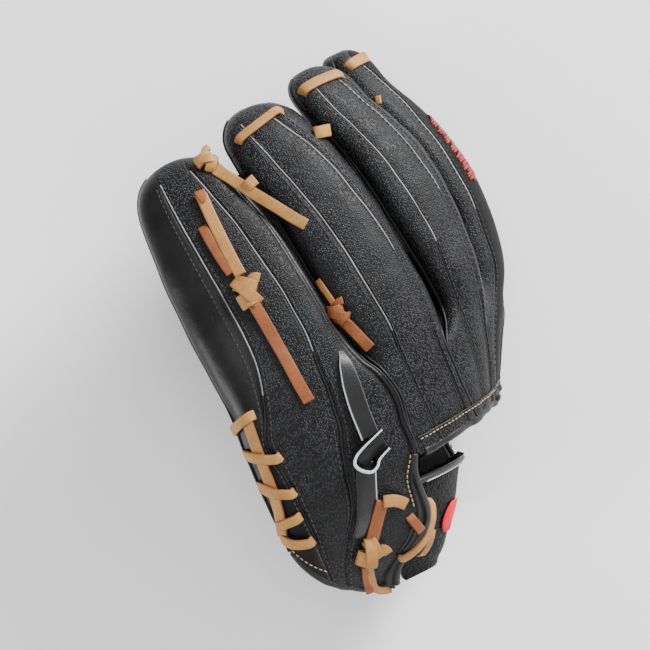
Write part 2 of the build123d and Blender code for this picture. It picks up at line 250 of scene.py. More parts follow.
class Signal:
    # one socket of a node tree; sums on it add Math nodes
    def __init__(self, board, socket):
        self.board, self.socket = board, socket

    def sum(self, operation, other, swap=False):
        a, b = (other, self) if swap else (self, other)
        return Signal(self.board, self.board.add("ShaderNodeMath", {"operation": operation},
                {0: a, 1: b}).outputs[0])

    def __add__(self, o): return self.sum("ADD", o)
    def __radd__(self, o): return self.sum("ADD", o, True)
    def __sub__(self, o): return self.sum("SUBTRACT", o)
    def __rsub__(self, o): return self.sum("SUBTRACT", o, True)
    def __mul__(self, o): return self.sum("MULTIPLY", o)
    def __rmul__(self, o): return self.sum("MULTIPLY", o, True)

    def ramp(self, low, high):
        # 0 below low, 1 above high
        node = self.board.add("ShaderNodeMapRange", {"interpolation_type": "SMOOTHSTEP"},
                              {"Value": self, "From Min": low, "From Max": high})
        return Signal(self.board, node.outputs["Result"])


class Board:
    # a material's node tree with its Principled shader
    def __init__(self, name, specular=0.5, coat=0.0, coatRough=0.3, sheen=0.0):
        self.material = bpy.data.materials.new(name)
        self.material.use_nodes = True
        self.tree = self.material.node_tree
        self.shader = self.tree.nodes["Principled BSDF"]
        for key, value in (("Specular IOR Level", specular), ("Coat Weight", coat), ("Coat Roughness", coatRough),
                           ("Sheen Weight", sheen)):
            self.shader.inputs[key].default_value = value
        self.place = Signal(self, self.add("ShaderNodeTexCoord").outputs["Object"])

    def add(self, kind, settings=None, inputs=None):
        node = self.tree.nodes.new(kind)
        for key, value in (settings or {}).items():
            setattr(node, key, value)
        for key, value in (inputs or {}).items():
            if isinstance(value, Signal):
                self.tree.links.new(value.socket, node.inputs[key])
            else:
                node.inputs[key].default_value = value
        return node

    def noise(self, scale, detail=3.0, rough=0.55):
        node = self.add("ShaderNodeTexNoise", None,
                        {"Vector": self.place, "Scale": scale, "Detail": detail, "Roughness": rough})
        return Signal(self, node.outputs["Fac"])

    def cells(self, scale, feature="F1", randomness=1.0, **more):
        inputs = {"Vector": self.place, "Scale": scale, "Randomness": randomness, **more}
        return Signal(self, self.add("ShaderNodeTexVoronoi", {"feature": feature}, inputs).outputs["Distance"])

    def attribute(self, name):
        return Signal(self, self.add("ShaderNodeAttribute", {"attribute_name": name}).outputs["Fac"])

    def blendColor(self, share, a, b):
        node = self.add("ShaderNodeMix", {"data_type": "RGBA"}, {0: share, 6: a, 7: b})
        return Signal(self, node.outputs[2])

    def bump(self, height, distance, strength=1.0, below=None):
        inputs = {"Height": height, "Distance": distance, "Strength": strength}
        if below is not None:
            inputs["Normal"] = below
        return Signal(self, self.add("ShaderNodeBump", None, inputs).outputs["Normal"])

    def finish(self, color=None, rough=None, normal=None):
        for key, value in (("Base Color", color), ("Roughness", rough), ("Normal", normal)):
            if isinstance(value, Signal):
                self.tree.links.new(value.socket, self.shader.inputs[key])
            elif value is not None:
                self.shader.inputs[key].default_value = value
        return self.material


def rgb(r, g, b):
    return (r, g, b, 1.0)


def darker(color, share):
    return rgb(*(c * share for c in color[:3]))


# finishes

# pebble light is the colour of the painted glints on the cell tops
pebble = {"pitch": 0.00118, "depth": 0.0003, "dark": rgb(0.003, 0.003, 0.0035), "light": rgb(0.03, 0.031, 0.034)}
scale = {"pitch": 0.0036, "depth": 0.00055, "dark": rgb(0.0022, 0.0022, 0.0024), "line": rgb(0.013, 0.013, 0.014)}


def makePebbled(name):
    # back leather with a fine raised net: its colour is paler on the tops of small cells, painted glints
    b = Board(name, specular=0.2)
    cell = b.cells(1 / pebble["pitch"], "SMOOTH_F1", 0.75, Smoothness=0.25)
    top = 1 - cell.ramp(0.15, 0.62)
    patches = b.noise(55, 3).ramp(0.35, 0.7)
    # painted glints: the colour turns paler on the cell tops, more so in noise patches
    paintedGlint = top * (0.35 + patches * 0.65)
    color = b.blendColor(paintedGlint, pebble["dark"], pebble["light"])
    grain = b.noise(2600, 2)
    height = top + grain * 0.15
    rough = 0.46 - top * 0.12 + patches * 0.06
    return b.finish(color, rough, b.bump(height, pebble["depth"], 0.9, b.bump(b.noise(60, 3), 0.0012, 0.5)))


def makeSmooth(name, color=rgb(0.0045, 0.0043, 0.0048), rough=0.36, creases=1.0, shine=0.2):
    # smooth leather: soft creases, fine pores, a waxed shine that varies
    b = Board(name, specular=shine, coat=shine * 0.25, coatRough=0.28)
    patches = b.noise(40, 4)
    pores = b.cells(1150, "F1")
    shade = b.blendColor(patches.ramp(0.3, 0.75), color, rgb(color[0] * 1.9, color[1] * 1.85, color[2] * 1.8))
    fold = b.noise(26, 5, 0.6)
    normal = b.bump(pores, 0.00012, 0.55, b.bump(fold, 0.0022 * creases, 0.55))
    return b.finish(shade, rough + patches * 0.18 - 0.06, normal)


def makeLace(name, face, edge, rough=0.5):
    # a rawhide thong: coloured face, darker cut edges, grain and rub marks
    b = Board(name, specular=0.42)
    rim = b.attribute("rim")
    grain = b.noise(900, 4, 0.65)
    rub = b.noise(110, 3)
    body = b.blendColor(rub.ramp(0.3, 0.75), face, darker(face, 0.72))
    mottled = b.blendColor(grain.ramp(0.42, 0.7) * 0.5, body, darker(face, 0.5))
    color = b.blendColor(rim, mottled, edge)
    return b.finish(color, rough + grain * 0.15, b.bump(grain, 0.00025, 0.6))


def makeThread(name, color):
    b = Board(name, specular=0.3, sheen=0.2)
    twist = b.noise(1500, 2)
    shade = b.blendColor(twist.ramp(0.3, 0.7), color, darker(color, 0.6))
    return b.finish(shade, 0.55, b.bump(twist, 0.0002, 0.5))


def makeScales(name):
    # the strap's leather: raised scales with a pale outline
    b = Board(name, specular=0.07)
    edge = b.cells(1 / scale["pitch"], "DISTANCE_TO_EDGE", 0.55)
    line = 1 - edge.ramp(0.03, 0.17)
    dome = edge.ramp(0.0, 0.35)
    color = b.blendColor(line, scale["dark"], scale["line"])
    return b.finish(color, 0.5 + line * 0.2, b.bump(dome + b.noise(1800) * 0.1, scale["depth"], 0.9))


def makeFelt(name, color):
    b = Board(name, specular=0.2, sheen=0.4)
    fuzz = b.noise(1300, 4, 0.7)
    shade = b.blendColor(fuzz.ramp(0.3, 0.7), color, darker(color, 0.7))
    return b.finish(shade, 0.9, b.bump(fuzz, 0.0004, 0.8))


pebbled = makePebbled("pebbledLeather")
smoothBlack = makeSmooth("smoothLeather")
softBlack = makeSmooth("softLeather", rgb(0.007, 0.007, 0.0078), 0.34, 1.3)
bandBlack = makeSmooth("bandLeather", rgb(0.003, 0.003, 0.0033), 0.55, 0.6, 0.08)
palmBlack = makeSmooth("palmLeather", rgb(0.006, 0.0058, 0.0058), 0.42, 0.8)
weltBlack = makeSmooth("weltLeather", rgb(0.012, 0.012, 0.013), 0.4, 0.3)
# pale welt colour: partly the grey raw edge of the leather, partly a painted highlight on the welt tops
weltEdgeAndHighlight = makeSmooth("weltGreyEdgeAndPaintedHighlight", rgb(0.16, 0.16, 0.165), 0.45, 0.3)
patchMaterial = makeSmooth("patchCloth", rgb(0.42, 0.003, 0.012), 0.6, 0.5, 0.1)
rawEdge = makeSmooth("rawEdge", rgb(0.3, 0.3, 0.31), 0.6, 0.3)
tanLace = makeLace("tanLace", rgb(0.39, 0.185, 0.043), rgb(0.18, 0.066, 0.014))
rustLace = makeLace("rustLace", rgb(0.25, 0.072, 0.014), rgb(0.13, 0.034, 0.008))
blackLace = makeLace("blackLace", rgb(0.005, 0.005, 0.0055), rgb(0.52, 0.53, 0.55), 0.34)
goldThread = makeThread("goldThread", rgb(0.46, 0.33, 0.15))
darkThread = makeThread("darkThread", rgb(0.018, 0.018, 0.0195))
redThread = makeThread("redThread", rgb(0.30, 0.002, 0.008))
strapScales = makeScales("scaledLeather")
liningDark = makeSmooth("liningLeather", rgb(0.02, 0.019, 0.019), 0.55, 0.4)
felt = makeFelt("paddingFelt", rgb(0.055, 0.053, 0.05))
print("finishes made")


# finger columns: each runs from its tip as a full stall and opens at the knuckles into a back panel; seams are
# x against y, share is how the row's points are dealt out between them, ends the lower edge, zones each panel's
# leather, plain the seams without a welt and paleTo how far down each welt is pale, grey raw edge with painted
# highlight

columns = {
    "pinky": {
        "body": pinky, "tip": 125.5, "round": 27, "half": 15,
        "left": track((-104, -92.8), (-60, -92.8), (-40, -92), (-20, -90.5), (0, -91), (30, -93), (55, -93.5),
                      (80, -92.5), (100, -91), (126, -88)),
        "right": track((-142, -46), (-134, -42), (-129, -35), (-125, -27), (-121, -20), (-115, -15),
                       (-107, -12.5), (-92, -11.5), (-84, -9), (-76, -5), (-60, -4.2), (-48, -2.2), (-38, -3.2),
                       (-28, -6.2), (-20, -10.5), (0, -16.5), (20, -18.5), (40, -20.5), (60, -23), (80, -27),
                       (100, -33), (126, -38)),
        "seams": [
            track((-128, -78), (-100, -77), (-60, -77.5), (-40, -79.5), (-25, -73.5), (-12, -69), (0, -66.2),
                  (10, -65.3), (30, -65.8), (45, -66.8), (60, -68.3), (80, -70), (100, -71.5), (120, -72)),
            track((-140, -74), (-120, -70), (-104, -60), (-95, -53), (-85, -49), (-72, -46), (-58, -42),
                  (-48, -38.5), (-38, -37), (-25, -35.5), (-10, -35), (0, -34), (8, -33.5), (18, -34.5),
                  (28, -35), (38, -36), (48, -38), (60, -40), (72, -42), (82, -44), (92, -47), (103, -50),
                  (112, -53), (122, -56)),
            track((-142, -55), (-134, -52), (-129, -44), (-121, -30), (-110, -21), (-98, -18.5), (-92, -17.5),
                  (-86, -14.5), (-82, -11), (-76, -8.2), (-60, -7.2), (-48, -5.2), (-38, -6.2), (-28, -9.2),
                  (-20, -13.5), (0, -19.5), (20, -21.5), (40, -23.5), (60, -26), (80, -30), (100, -36),
                  (126, -41)),
        ],
        "share": [0, 0.28, 0.62, 0.92, 1],
        "ends": [(0, -99), (0.06, -109), (0.12, -116), (0.28, -127), (0.62, -131.5), (0.75, -136.5),
                 (0.92, -140.5), (1, -142)],
        "zones": [1, 0, 0, 1], "plain": [3], "paleTo": [-14, -4],
    },
    "ring": {
        "body": hand, "tip": 135.5, "round": 22, "half": 15,
        "left": track((-80, -3.5), (-76, -4.5), (-60, -2.2), (-48, -0.2), (-38, -1.2), (-28, -4.2), (-20, -8.5),
                      (0, -14), (20, -16.5), (40, -18), (60, -20.5), (80, -24), (100, -29.5), (136, -32)),
        "right": track((-80, 33), (-34, 34), (-20, 36), (0, 36.5), (20, 35), (40, 33.5), (60, 31), (80, 27.5),
                       (100, 22), (115, 16), (136, 9)),
        "seams": [
            track((-80, 9.5), (-30, 9.5), (-10, 10.5), (0, 10), (12, 8.5), (25, 7), (38, 5.5), (48, 4), (58, 2),
                  (68, 0), (78, -3), (90, -6), (99, -9), (110, -12), (119, -15), (131, -18)),
            track((-80, 27), (-60, 29.5), (-25, 31), (0, 31.5), (10, 32), (25, 31), (35, 30), (45, 28.6),
                  (55, 26.6), (62, 24.8), (72, 22.6), (80, 20.6), (87, 18.6), (94, 15.8), (103, 12), (112, 7),
                  (122, 1), (130, -3)),
        ],
        "share": [0, 0.34, 0.84, 1], "ends": [(0, -80.5), (0.34, -80), (0.84, -77.5), (1, -77)],
        "zones": [0, 0, 0], "paleTo": [-12, 28],
    },
    "middle": {
        "body": hand, "tip": 141.5, "round": 19, "half": 12.5,
        "left": track((-76, 33.8), (-34, 34.8), (-20, 38.5), (0, 39), (20, 37.5), (40, 35.5), (60, 33),
                      (80, 29.5), (100, 24), (115, 18), (141, 11)),
        "right": track((-74, 46), (-60, 50.5), (-40, 57.5), (-20, 64), (0, 68.5), (20, 71), (40, 71.5), (60, 70),
                       (80, 66.5), (100, 59), (115, 52), (141, 45)),
        "seams": [
            track((-76, 38), (-50, 46), (-20, 50), (-10, 51), (0, 52), (10, 52.8), (22, 54), (30, 54), (40, 53),
                  (50, 52), (62, 50), (72, 48), (81, 46), (90, 43), (98, 40), (107, 37), (117, 33), (127, 30),
                  (138, 27)),
            track((-74, 44), (-50, 53), (-20, 62), (5, 67), (30, 69), (50, 68), (68, 65), (80, 62.4), (92, 59),
                  (104, 54), (116, 49), (127, 44), (137, 40)),
        ],
        "share": [0, 0.4, 0.86, 1], "ends": [(0, -77), (0.4, -75.5), (1, -73)],
        "zones": [0, 0, 0], "paleTo": [22, 48],
    },
    "index": {
        "body": hand, "tip": 143.5, "round": 20, "half": 12.5,
        "middleX": track((-20, 62.8), (0, 71.8), (20, 75.3), (40, 76.3), (60, 74.3), (80, 69.8), (100, 62.3),
                         (120, 53.5), (143, 48)),
        "middleZ": track((-20, 35.5), (0, 38.5), (40, 39.5), (80, 39.5), (100, 38.5), (120, 40), (143, 46)),
        "halfWidth": 18, "roll": radians(68),
        "left": track((-70, 48), (-60, 51.5), (-40, 58.5), (-20, 65), (0, 68)),
        "right": track((-70, 50.5), (-60, 55.5), (-40, 66.5), (-20, 78.5), (0, 87.5)),
        "seams": [
            track((-70, 49), (-60, 52.4), (-40, 61), (-20, 71), (-8, 77), (0, 79), (10, 80.5), (25, 82), (40, 83),
                  (50, 82), (62, 80.5), (75, 79), (83, 77), (90, 75), (98, 73), (107, 70), (118, 66), (130, 60),
                  (140, 54)),
        ],
        "share": [0, 0.5, 1], "ends": [(0, -72), (0.5, -69), (1, -66)],
        "zones": [0, 3], "paleTo": [30],
    },
}
cuffY, stallY = -36.0, -4.0   # below the first a column is only its back panel, above the second a full stall
panelThick = 4.6
rowPitch = 1.6
leatherForm = {"puff": 0.9, "dip": 0.9, "dipWide": 1.1, "flatTip": 14}


def stallSection(c, y):
    # middle, half width and roll of a stall against y
    if "roll" in c:
        roll = np.full_like(y, c["roll"])
        return c["middleX"](y), c["middleZ"](y), np.full_like(y, float(c["halfWidth"])), roll
    left, right = c["left"](y), c["right"](y)
    x = (left + right) / 2
    roll = domeRoll(x, y)
    wide = np.sqrt(np.maximum(((right - left) / 2) ** 2 - (c["half"] * np.sin(roll)) ** 2, 1)) / np.cos(roll)
    return x, domeZ(x, y) - c["half"] / np.cos(roll), wide, roll


def ringXZ(c, y, a):
    # a superellipse about the stall's middle, leaned over with the dome, closing in at the tip
    mx, mz, wide, roll = stallSection(c, y)
    left = np.clip((c["tip"] - y) / c["round"], 0, 1)
    share = np.maximum(1 - (1 - left) ** 2.4, 0) ** (1 / 2.4)
    wide, high = wide * share, c["half"] * (0.25 + 0.75 * share) * np.clip(share * 6, 0, 1)
    across, up = wide * bulged(np.cos(a), 2.5), high * bulged(np.sin(a), 2.5)
    return mx + across * np.cos(roll) + up * np.sin(roll), mz - across * np.sin(roll) + up * np.cos(roll)


nTop, nUnder = 96, 40   # points of a row over the back and underneath


def columnGrid(c):
    # rows from the tip to the lower edge; the first nTop + 1 points of a row run over the back from left to
    # right, the rest run back underneath
    tip, curve = c["tip"], c["round"]
    nose = tip - curve * (1 - np.cos(np.linspace(0, pi / 2, 26)))
    rows = np.concatenate([nose, np.arange(tip - curve - rowPitch, cuffY, -rowPitch), [cuffY]])
    fall = np.linspace(0, 1, 64)[1:]
    f = np.linspace(0, 1, nTop + 1)
    endY = track(*c["ends"])(f)
    topY = np.vstack([np.repeat(rows[:, None], nTop + 1, 1), cuffY + (endY[None, :] - cuffY) * fall[:, None]])
    seams = [c["left"]] + c["seams"] + [c["right"]]
    marks = [int(round(s * nTop)) for s in c["share"]]
    # back panel: x spread evenly between the seams, z on the dome
    flatX = np.zeros_like(topY)
    for k in range(len(marks) - 1):
        j = np.arange(marks[k], marks[k + 1] + 1)
        t = (j - marks[k]) / (marks[k + 1] - marks[k])
        a, b = seams[k](topY[:, j]), seams[k + 1](topY[:, j])
        flatX[:, j] = a + (b - a) * t
    flat = stack(flatX, topY, domeZ(flatX, topY))
    # stall: the angles where the seams cross, found on each row
    angles = 240
    sweep = np.linspace(pi, 0, angles)
    y = topY[:, :1]
    xs, _ = ringXZ(c, np.repeat(y, angles, 1), np.repeat(sweep[None], len(y), 0))
    xs = np.maximum.accumulate(xs, axis=1)
    bounds = [np.full(len(y), pi)]
    for s in c["seams"]:
        want = s(y[:, 0])
        index = np.clip((xs < want[:, None]).sum(1), 8, angles - 9)
        bounds.append(sweep[index])
    bounds.append(np.zeros(len(y)))
    bounds = [blur(v, 9) for v in bounds]
    angle = np.zeros_like(topY)
    for k in range(len(marks) - 1):
        j = np.arange(marks[k], marks[k + 1] + 1)
        t = (j - marks[k]) / (marks[k + 1] - marks[k])
        angle[:, j] = bounds[k][:, None] + (bounds[k + 1] - bounds[k])[:, None] * t
    x, z = ringXZ(c, topY, angle)
    ring = stack(x, topY, z)
    s = smoothStep(topY, cuffY, stallY)[..., None]
    top = flat * (1 - s) + ring * s
    # underneath
    g = np.linspace(0, 1, nUnder + 2)[1:-1]
    underY = np.stack([np.interp(1 - g, f, row) for row in topY])
    ux, uz = ringXZ(c, underY, np.repeat((-pi * g)[None], len(topY), 0))
    flatUnderX = np.stack([np.interp(1 - g, f, row) for row in flatX])
    roll = domeRoll(flatUnderX, underY)
    flatUnder = stack(flatUnderX - panelThick * np.sin(roll) * 0.9, underY,
                      domeZ(flatUnderX, underY) - panelThick * np.cos(roll))
    s = smoothStep(underY, cuffY, stallY)[..., None]
    under = flatUnder * (1 - s) + stack(ux, underY, uz) * s
    return np.concatenate([top, under], axis=1), marks


def dressColumn(name, c):
    grid, marks = columnGrid(c)
    normal = -surfaceNormals(grid, True)
    j = np.arange(grid.shape[1])
    # panels puff up between their seams and sink along them
    puff = np.zeros(grid.shape[1])
    dip = np.zeros(grid.shape[1])
    for k in range(len(marks) - 1):
        inside = (j >= marks[k]) & (j <= marks[k + 1])
        t = (j - marks[k]) / (marks[k + 1] - marks[k])
        puff = np.where(inside, np.sin(pi * np.clip(t, 0, 1)) ** 0.6, puff)
    for m in marks[1:-1]:
        dip = np.maximum(dip, np.exp(-((j - m) / leatherForm["dipWide"]) ** 2))
    fade = smoothStep(grid[:, :, 1], c["tip"] + 1, c["tip"] - leatherForm["flatTip"])
    lift = (leatherForm["puff"] * puff - leatherForm["dip"] * dip) * fade
    lift = lift + 0.35 * ripple(grid, 7.0, len(name)) + 0.3 * ripple(grid, 17.0, 3)
    grid = grid + normal * lift[..., None]
    zone = np.full((grid.shape[0] - 1, grid.shape[1]), 2)
    for k in range(len(marks) - 1):
        zone[:, marks[k]:marks[k + 1]] = c["zones"][k]
    skin = gridPiece("skin_" + name, grid, [pebbled, smoothBlack, palmBlack, bandBlack], True, zone, flip=True)
    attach(skin, c["body"])
    return {"mesh": skin, "grid": grid, "marks": marks, "normals": -surfaceNormals(grid, True)}


skins = {name: dressColumn(name, c) for name, c in columns.items()}
print("finger columns made")


# surfaces to lay things on

def heightOf(names):
    # a function giving the highest surface over a place in plan, with its normal, by a ray from above
    trees = []
    for name in names:
        mesh = bpy.data.objects[name].data
        trees.append(BVHTree.FromPolygons([v.co for v in mesh.vertices], [p.vertices for p in mesh.polygons]))

    def at(x, y):
        start = Vector(((x + gloveShift[0]) * 0.001, (y + gloveShift[1]) * 0.001, 0.3))
        best, normal = -50.0, None
        for tree in trees:
            hit = tree.ray_cast(start, Vector((0, 0, -1)))
            if hit[0] is not None and hit[0].z * 1000 - gloveShift[2] > best:
                best = hit[0].z * 1000 - gloveShift[2]
                normal = hit[1] if hit[1].z > 0 else -hit[1]
        if normal is None:
            return float(domeZ(x, y)) - 2.5, unit(np.array([np.sign(x), 0.0, 0.6]))
        return best, np.array(normal)

    return at


backHeight = heightOf(["skin_pinky", "skin_ring", "skin_middle", "skin_index"])


def layOver(points, lift, taut=True, surface=backHeight, flat=0.0):
    # a path over the leather through plan points, each with its own extra lift; a taut one bridges hollows
    plan = smoothPath([(p[0], p[1], p[2] if len(p) > 2 else 0.0) for p in points], 1.0)
    found = [surface(x, y) for x, y, _ in plan]
    z = np.array([f[0] for f in found])
    ups = np.array([f[1] for f in found])
    far = lengthsAlong(plan[:, :2])
    if taut:
        hull = []
        for i in range(len(z)):
            while len(hull) > 1:
                b, a = hull[-1], hull[-2]
                if (z[b] - z[a]) * (far[i] - far[b]) >= (z[i] - z[b]) * (far[b] - far[a]):
                    break
                hull.pop()
            hull.append(i)
        z = np.interp(far, far[hull], z[hull])
    ups = unit(blur(ups, 13) * (1 - flat) + np.array([0.0, 0.0, flat]))
    return stack(plan[:, 0], plan[:, 1], blur(z, 7)) + ups * (lift + plan[:, 2])[:, None], ups


# seams, piping and stitches

def settle(thing, body, stands=()):
    # on one body, or, given two bodies as (a, b, start, end), only baked in place and parented to neither; in the
    # place of the CAD pieces it stands for
    if isinstance(body, tuple):
        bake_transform(thing)
    else:
        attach(thing, body)
    if stands:
        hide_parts(*stands)
    return thing


def tubeAlong(name, path, ups, profile, material, body, stands=()):
    return settle(makeMesh(name, *swept(path, ups, profile), material), body, stands)


# shares of a thread's length, with its thickness and how far it arches at each
stitchForm = {"share": [0, 0.08, 0.5, 0.92, 1], "fat": [0.35, 0.85, 1, 0.85, 0.35],
              "arch": [-0.25, 0, 0.2, 0, -0.25]}
satinForm = {"share": [0, 0.12, 0.5, 0.88, 1], "fat": [1, 1, 1, 1, 1], "arch": [-0.6, 0.25, 0.7, 0.25, -0.6]}


def threads(name, starts, ends, ups, thick, form, material, body):
    # one small arched capsule from each start to its end
    share, fat, arch = (np.array(form[key], float)[None, :, None] for key in ("share", "fat", "arch"))
    side = unit(np.cross(unit(ends - starts), ups))
    middle = starts[:, None] + (ends - starts)[:, None] * share + ups[:, None] * arch * thick
    a = np.linspace(0, 2 * pi, 6, endpoint=False)[None, None, :, None]
    rings = middle[:, :, None] + (fat * thick)[..., None] * (
        np.cos(a) * side[:, None, None] + np.sin(a) * ups[:, None, None])
    verts, faces = joined([(ring.reshape(-1, 3), sweptFaces(5, 6)) for ring in rings])
    return settle(makeMesh(name, verts, faces, material), body)


def stitches(name, rows, material, body, pitch, length, thick):
    # a stitch every pitch along each row's path
    runs = []
    for path, ups in rows:
        far = lengthsAlong(path)
        at = np.arange(pitch, far[-1] - pitch / 2, pitch)
        along = unit(readAt(at + 0.5, far, path) - readAt(at - 0.5, far, path)) * length / 2
        middle = readAt(at, far, path)
        runs.append(np.stack([middle - along, middle + along, unit(readAt(at, far, ups))]))
    return threads(name, *np.concatenate(runs, axis=1), thick, stitchForm, material, body)


def evenLine(path, ups, step):
    far = lengthsAlong(path)
    even = np.linspace(0, far[-1], int(far[-1] / step))
    return readAt(even, far, path), readAt(even, far, ups)


def edgeLine(skin, first, column, lift):
    # along a column of a skin's grid, from one of its first rows down
    up = skin["normals"][first:, column]
    path, ups = evenLine(skin["grid"][first:, column] + up * lift, up, 1.2)
    return path, unit(ups)


def joinRows(*rows):
    # several (path, ups) runs as one smooth one
    path, ups = evenLine(np.vstack([r[0] for r in rows]), np.vstack([r[1] for r in rows]), 1.5)
    return blur(path, 7), unit(blur(ups, 7))


seam = {"from": 14, "sideFrom": 8, "stitchGap": 3, "welt": flatProfile(0.9, 2.0, 10, 3),
        "sideWelt": flatProfile(2.2, 1.3, 10, 3)}
for name, skin in skins.items():
    c, marks = columns[name], skin["marks"]
    body = c["body"]
    rows = []
    for k, m in enumerate(marks[1:-1]):
        if k + 1 in c.get("plain", []):
            continue
        line, up = edgeLine(skin, seam["from"], m, 0.25)
        # above paleTo the welt gets the pale colour, grey raw edge with painted highlight; below it the same welt
        # is black
        cut = int((line[:, 1] > c["paleTo"][k]).sum())
        tubeAlong("welt_%s_%d" % (name, k + 1), line[:cut], up[:cut], seam["welt"], weltEdgeAndHighlight, body)
        tubeAlong("weltLow_%s_%d" % (name, k + 1), line[cut - 1:], up[cut - 1:], seam["welt"], weltBlack, body)
        rows += [edgeLine(skin, seam["from"], m + d, 0.12) for d in (-seam["stitchGap"], seam["stitchGap"])]
    stitches("stitches_" + name, rows, darkThread, body, 3.4, 2.2, 0.33)
    for side, m in (("a", 0), ("b", marks[-1])):
        line, up = edgeLine(skin, seam["sideFrom"], m, 0.2)
        tubeAlong("sideWelt_%s_%s" % (name, side), line, up, seam["sideWelt"], weltBlack, body)
print("seams made")


# laces

def markRim(thing, profile, width, rims=(1.0, 1.0)):
    # the cut edges of a thong, left and right, for its finish
    across = np.abs(profile[:, 0])
    rim = np.where(profile[:, 0] < 0, rims[0], rims[1]) * smoothStep(across, width * 0.43, width * 0.485)
    rim = np.tile(rim, len(thing.data.vertices) // len(profile)).astype(np.float32)
    thing.data.attributes.new("rim", "FLOAT", "POINT").data.foreach_set("value", rim)


def thong(name, path, ups, body, width=6.0, thick=1.9, material=tanLace, stands=(), twist=None, taper=None,
          rims=(1.0, 1.0)):
    # a flat lace along a path; twist in degrees and taper are spread evenly along it
    spread = lambda v: np.interp(np.linspace(0, 1, len(path)), np.linspace(0, 1, len(v)), v)
    if twist is not None:
        side = unit(np.cross(unit(np.gradient(path, axis=0)), ups))
        turn = np.radians(spread(twist))[:, None]
        ups = unit(ups * np.cos(turn) + side * np.sin(turn))
    profile = flatProfile(width, thick)
    verts, faces = swept(path, ups, profile, None if taper is None else spread(taper))
    thing = makeMesh(name, verts, faces, material)
    markRim(thing, profile, width, rims)
    return settle(thing, body, stands)


def laidThong(name, points, body, width=6.0, thick=1.9, lift=1.2, taut=True, flat=0.0, **more):
    path, ups = layOver(points, lift, taut, flat=flat)
    return thong(name, path, ups, body, width, thick, **more)


def knotAt(name, x, y, body, angle, long, wide, fat, width, lift, material=tanLace, stands=()):
    # a pulled overhand knot on a flat thong: two wraps leaning opposite ways, a band over both and a short ear
    z, n = backHeight(x, y)
    up = unit(n * 0.5 + np.array([0, 0, 0.5]))
    flatWay = np.array([cos(radians(angle)), sin(radians(angle)), 0.0])
    along = unit(flatWay - up * (flatWay @ up))
    side = np.cross(up, along)
    middle = np.array([x, y, z]) + up * (fat * 0.7 + lift)
    profile = flatProfile(width, 1.9)
    runs = []

    def arc(at, t, across, wide, high, outHigh, sink, shape):
        # part of an ellipse spanned by across and up, facing outwards
        path = at + np.outer(np.cos(t) * wide, across) + np.outer(np.sin(t) * high - sink, up)
        out = unit(np.outer(np.cos(t) / wide, across) + np.outer(np.sin(t) / outHigh, up))
        runs.append(swept(path, out, profile * shape))

    for share, lean, girth in ((0.17, 24, 1.0), (-0.2, -20, 0.86)):
        across = unit(side * cos(radians(lean)) + along * sin(radians(lean)))
        turn = np.linspace(-pi / 2, 1.5 * pi, 60)
        arc(middle + along * long * share, turn, across, wide * girth, fat * girth, fat * girth, 0, [1, 1])
    band = np.linspace(radians(205), radians(-25), 40)
    arc(middle, band, unit(side * 0.62 + along * 0.78), long * 0.42, fat * 1.28, fat, 0.4, [0.8, 1])
    ear = middle - side * wide * 0.5 + along * long * 0.28 + up * 0.8
    path = smoothPath([ear, ear - side * 3.2 + along * 1.2, ear - side * 5.6 + along * 0.4 - up * 0.6])
    runs.append(swept(path, np.tile(up, (len(path), 1)), profile * [0.62, 1.1]))
    thing = makeMesh(name, *joined(runs), material)
    markRim(thing, profile, width)
    return settle(thing, body, stands)


# fingertip laces
laidThong("laceTipRing", [(-23, 118.6, -2.5), (-21.5, 119.9), (-17, 121.5), (-10, 123), (-2, 124.8), (4, 125.8),
                          (7.5, 124.5, -2.5)], hand, 5.2, stands=["lace_tip_ring"])
laidThong("laceTipMiddle", [(20.5, 129, -2.5), (23, 130.5), (29, 131.5), (36, 131.6), (43, 131), (47, 130, -2.5)],
          hand, 6.2, stands=["lace_tip_middle"])
laidThong("laceTipIndex", [(51, 132.5, -2.5), (53, 133.5), (57, 134), (62, 134.4), (64, 134.5, -2)], hand, 6.4,
          stands=["lace_tip_index"])
laidThong("laceEndRing", [(18, 106, -1), (21, 105.3, 1.5), (24, 105, 2.5), (27, 104.5, 2.5)], hand, 7.2, 2.6, 2.2,
          flat=0.8)
laidThong("laceEndIndex", [(57, 109.5, 0), (60, 108.5, 1)], hand, 5, 2.2)

# the tie between the little and ring fingers
knotAt("knotTipPinky", -43.5, 115.5, pinky, 122, 13, 4.6, 3.4, 6.5, 0.2, stands=["knot_tip_pinky"])
laidThong("laceFingerTie", [(-41, 111, 0.5), (-36, 103.5), (-27, 90), (-20, 79.5), (-13, 68.5), (-8, 61.5)], hand,
          6.8, 2.0, 1.8, flat=0.85, stands=["lace_finger_tie"])
laidThong("laceTieStub", [(-31, 93.5, 0), (-26, 95.5, 1.5), (-22.5, 96.5, 2.0)], hand, 6.6, 2.4, 3.4, flat=0.9)

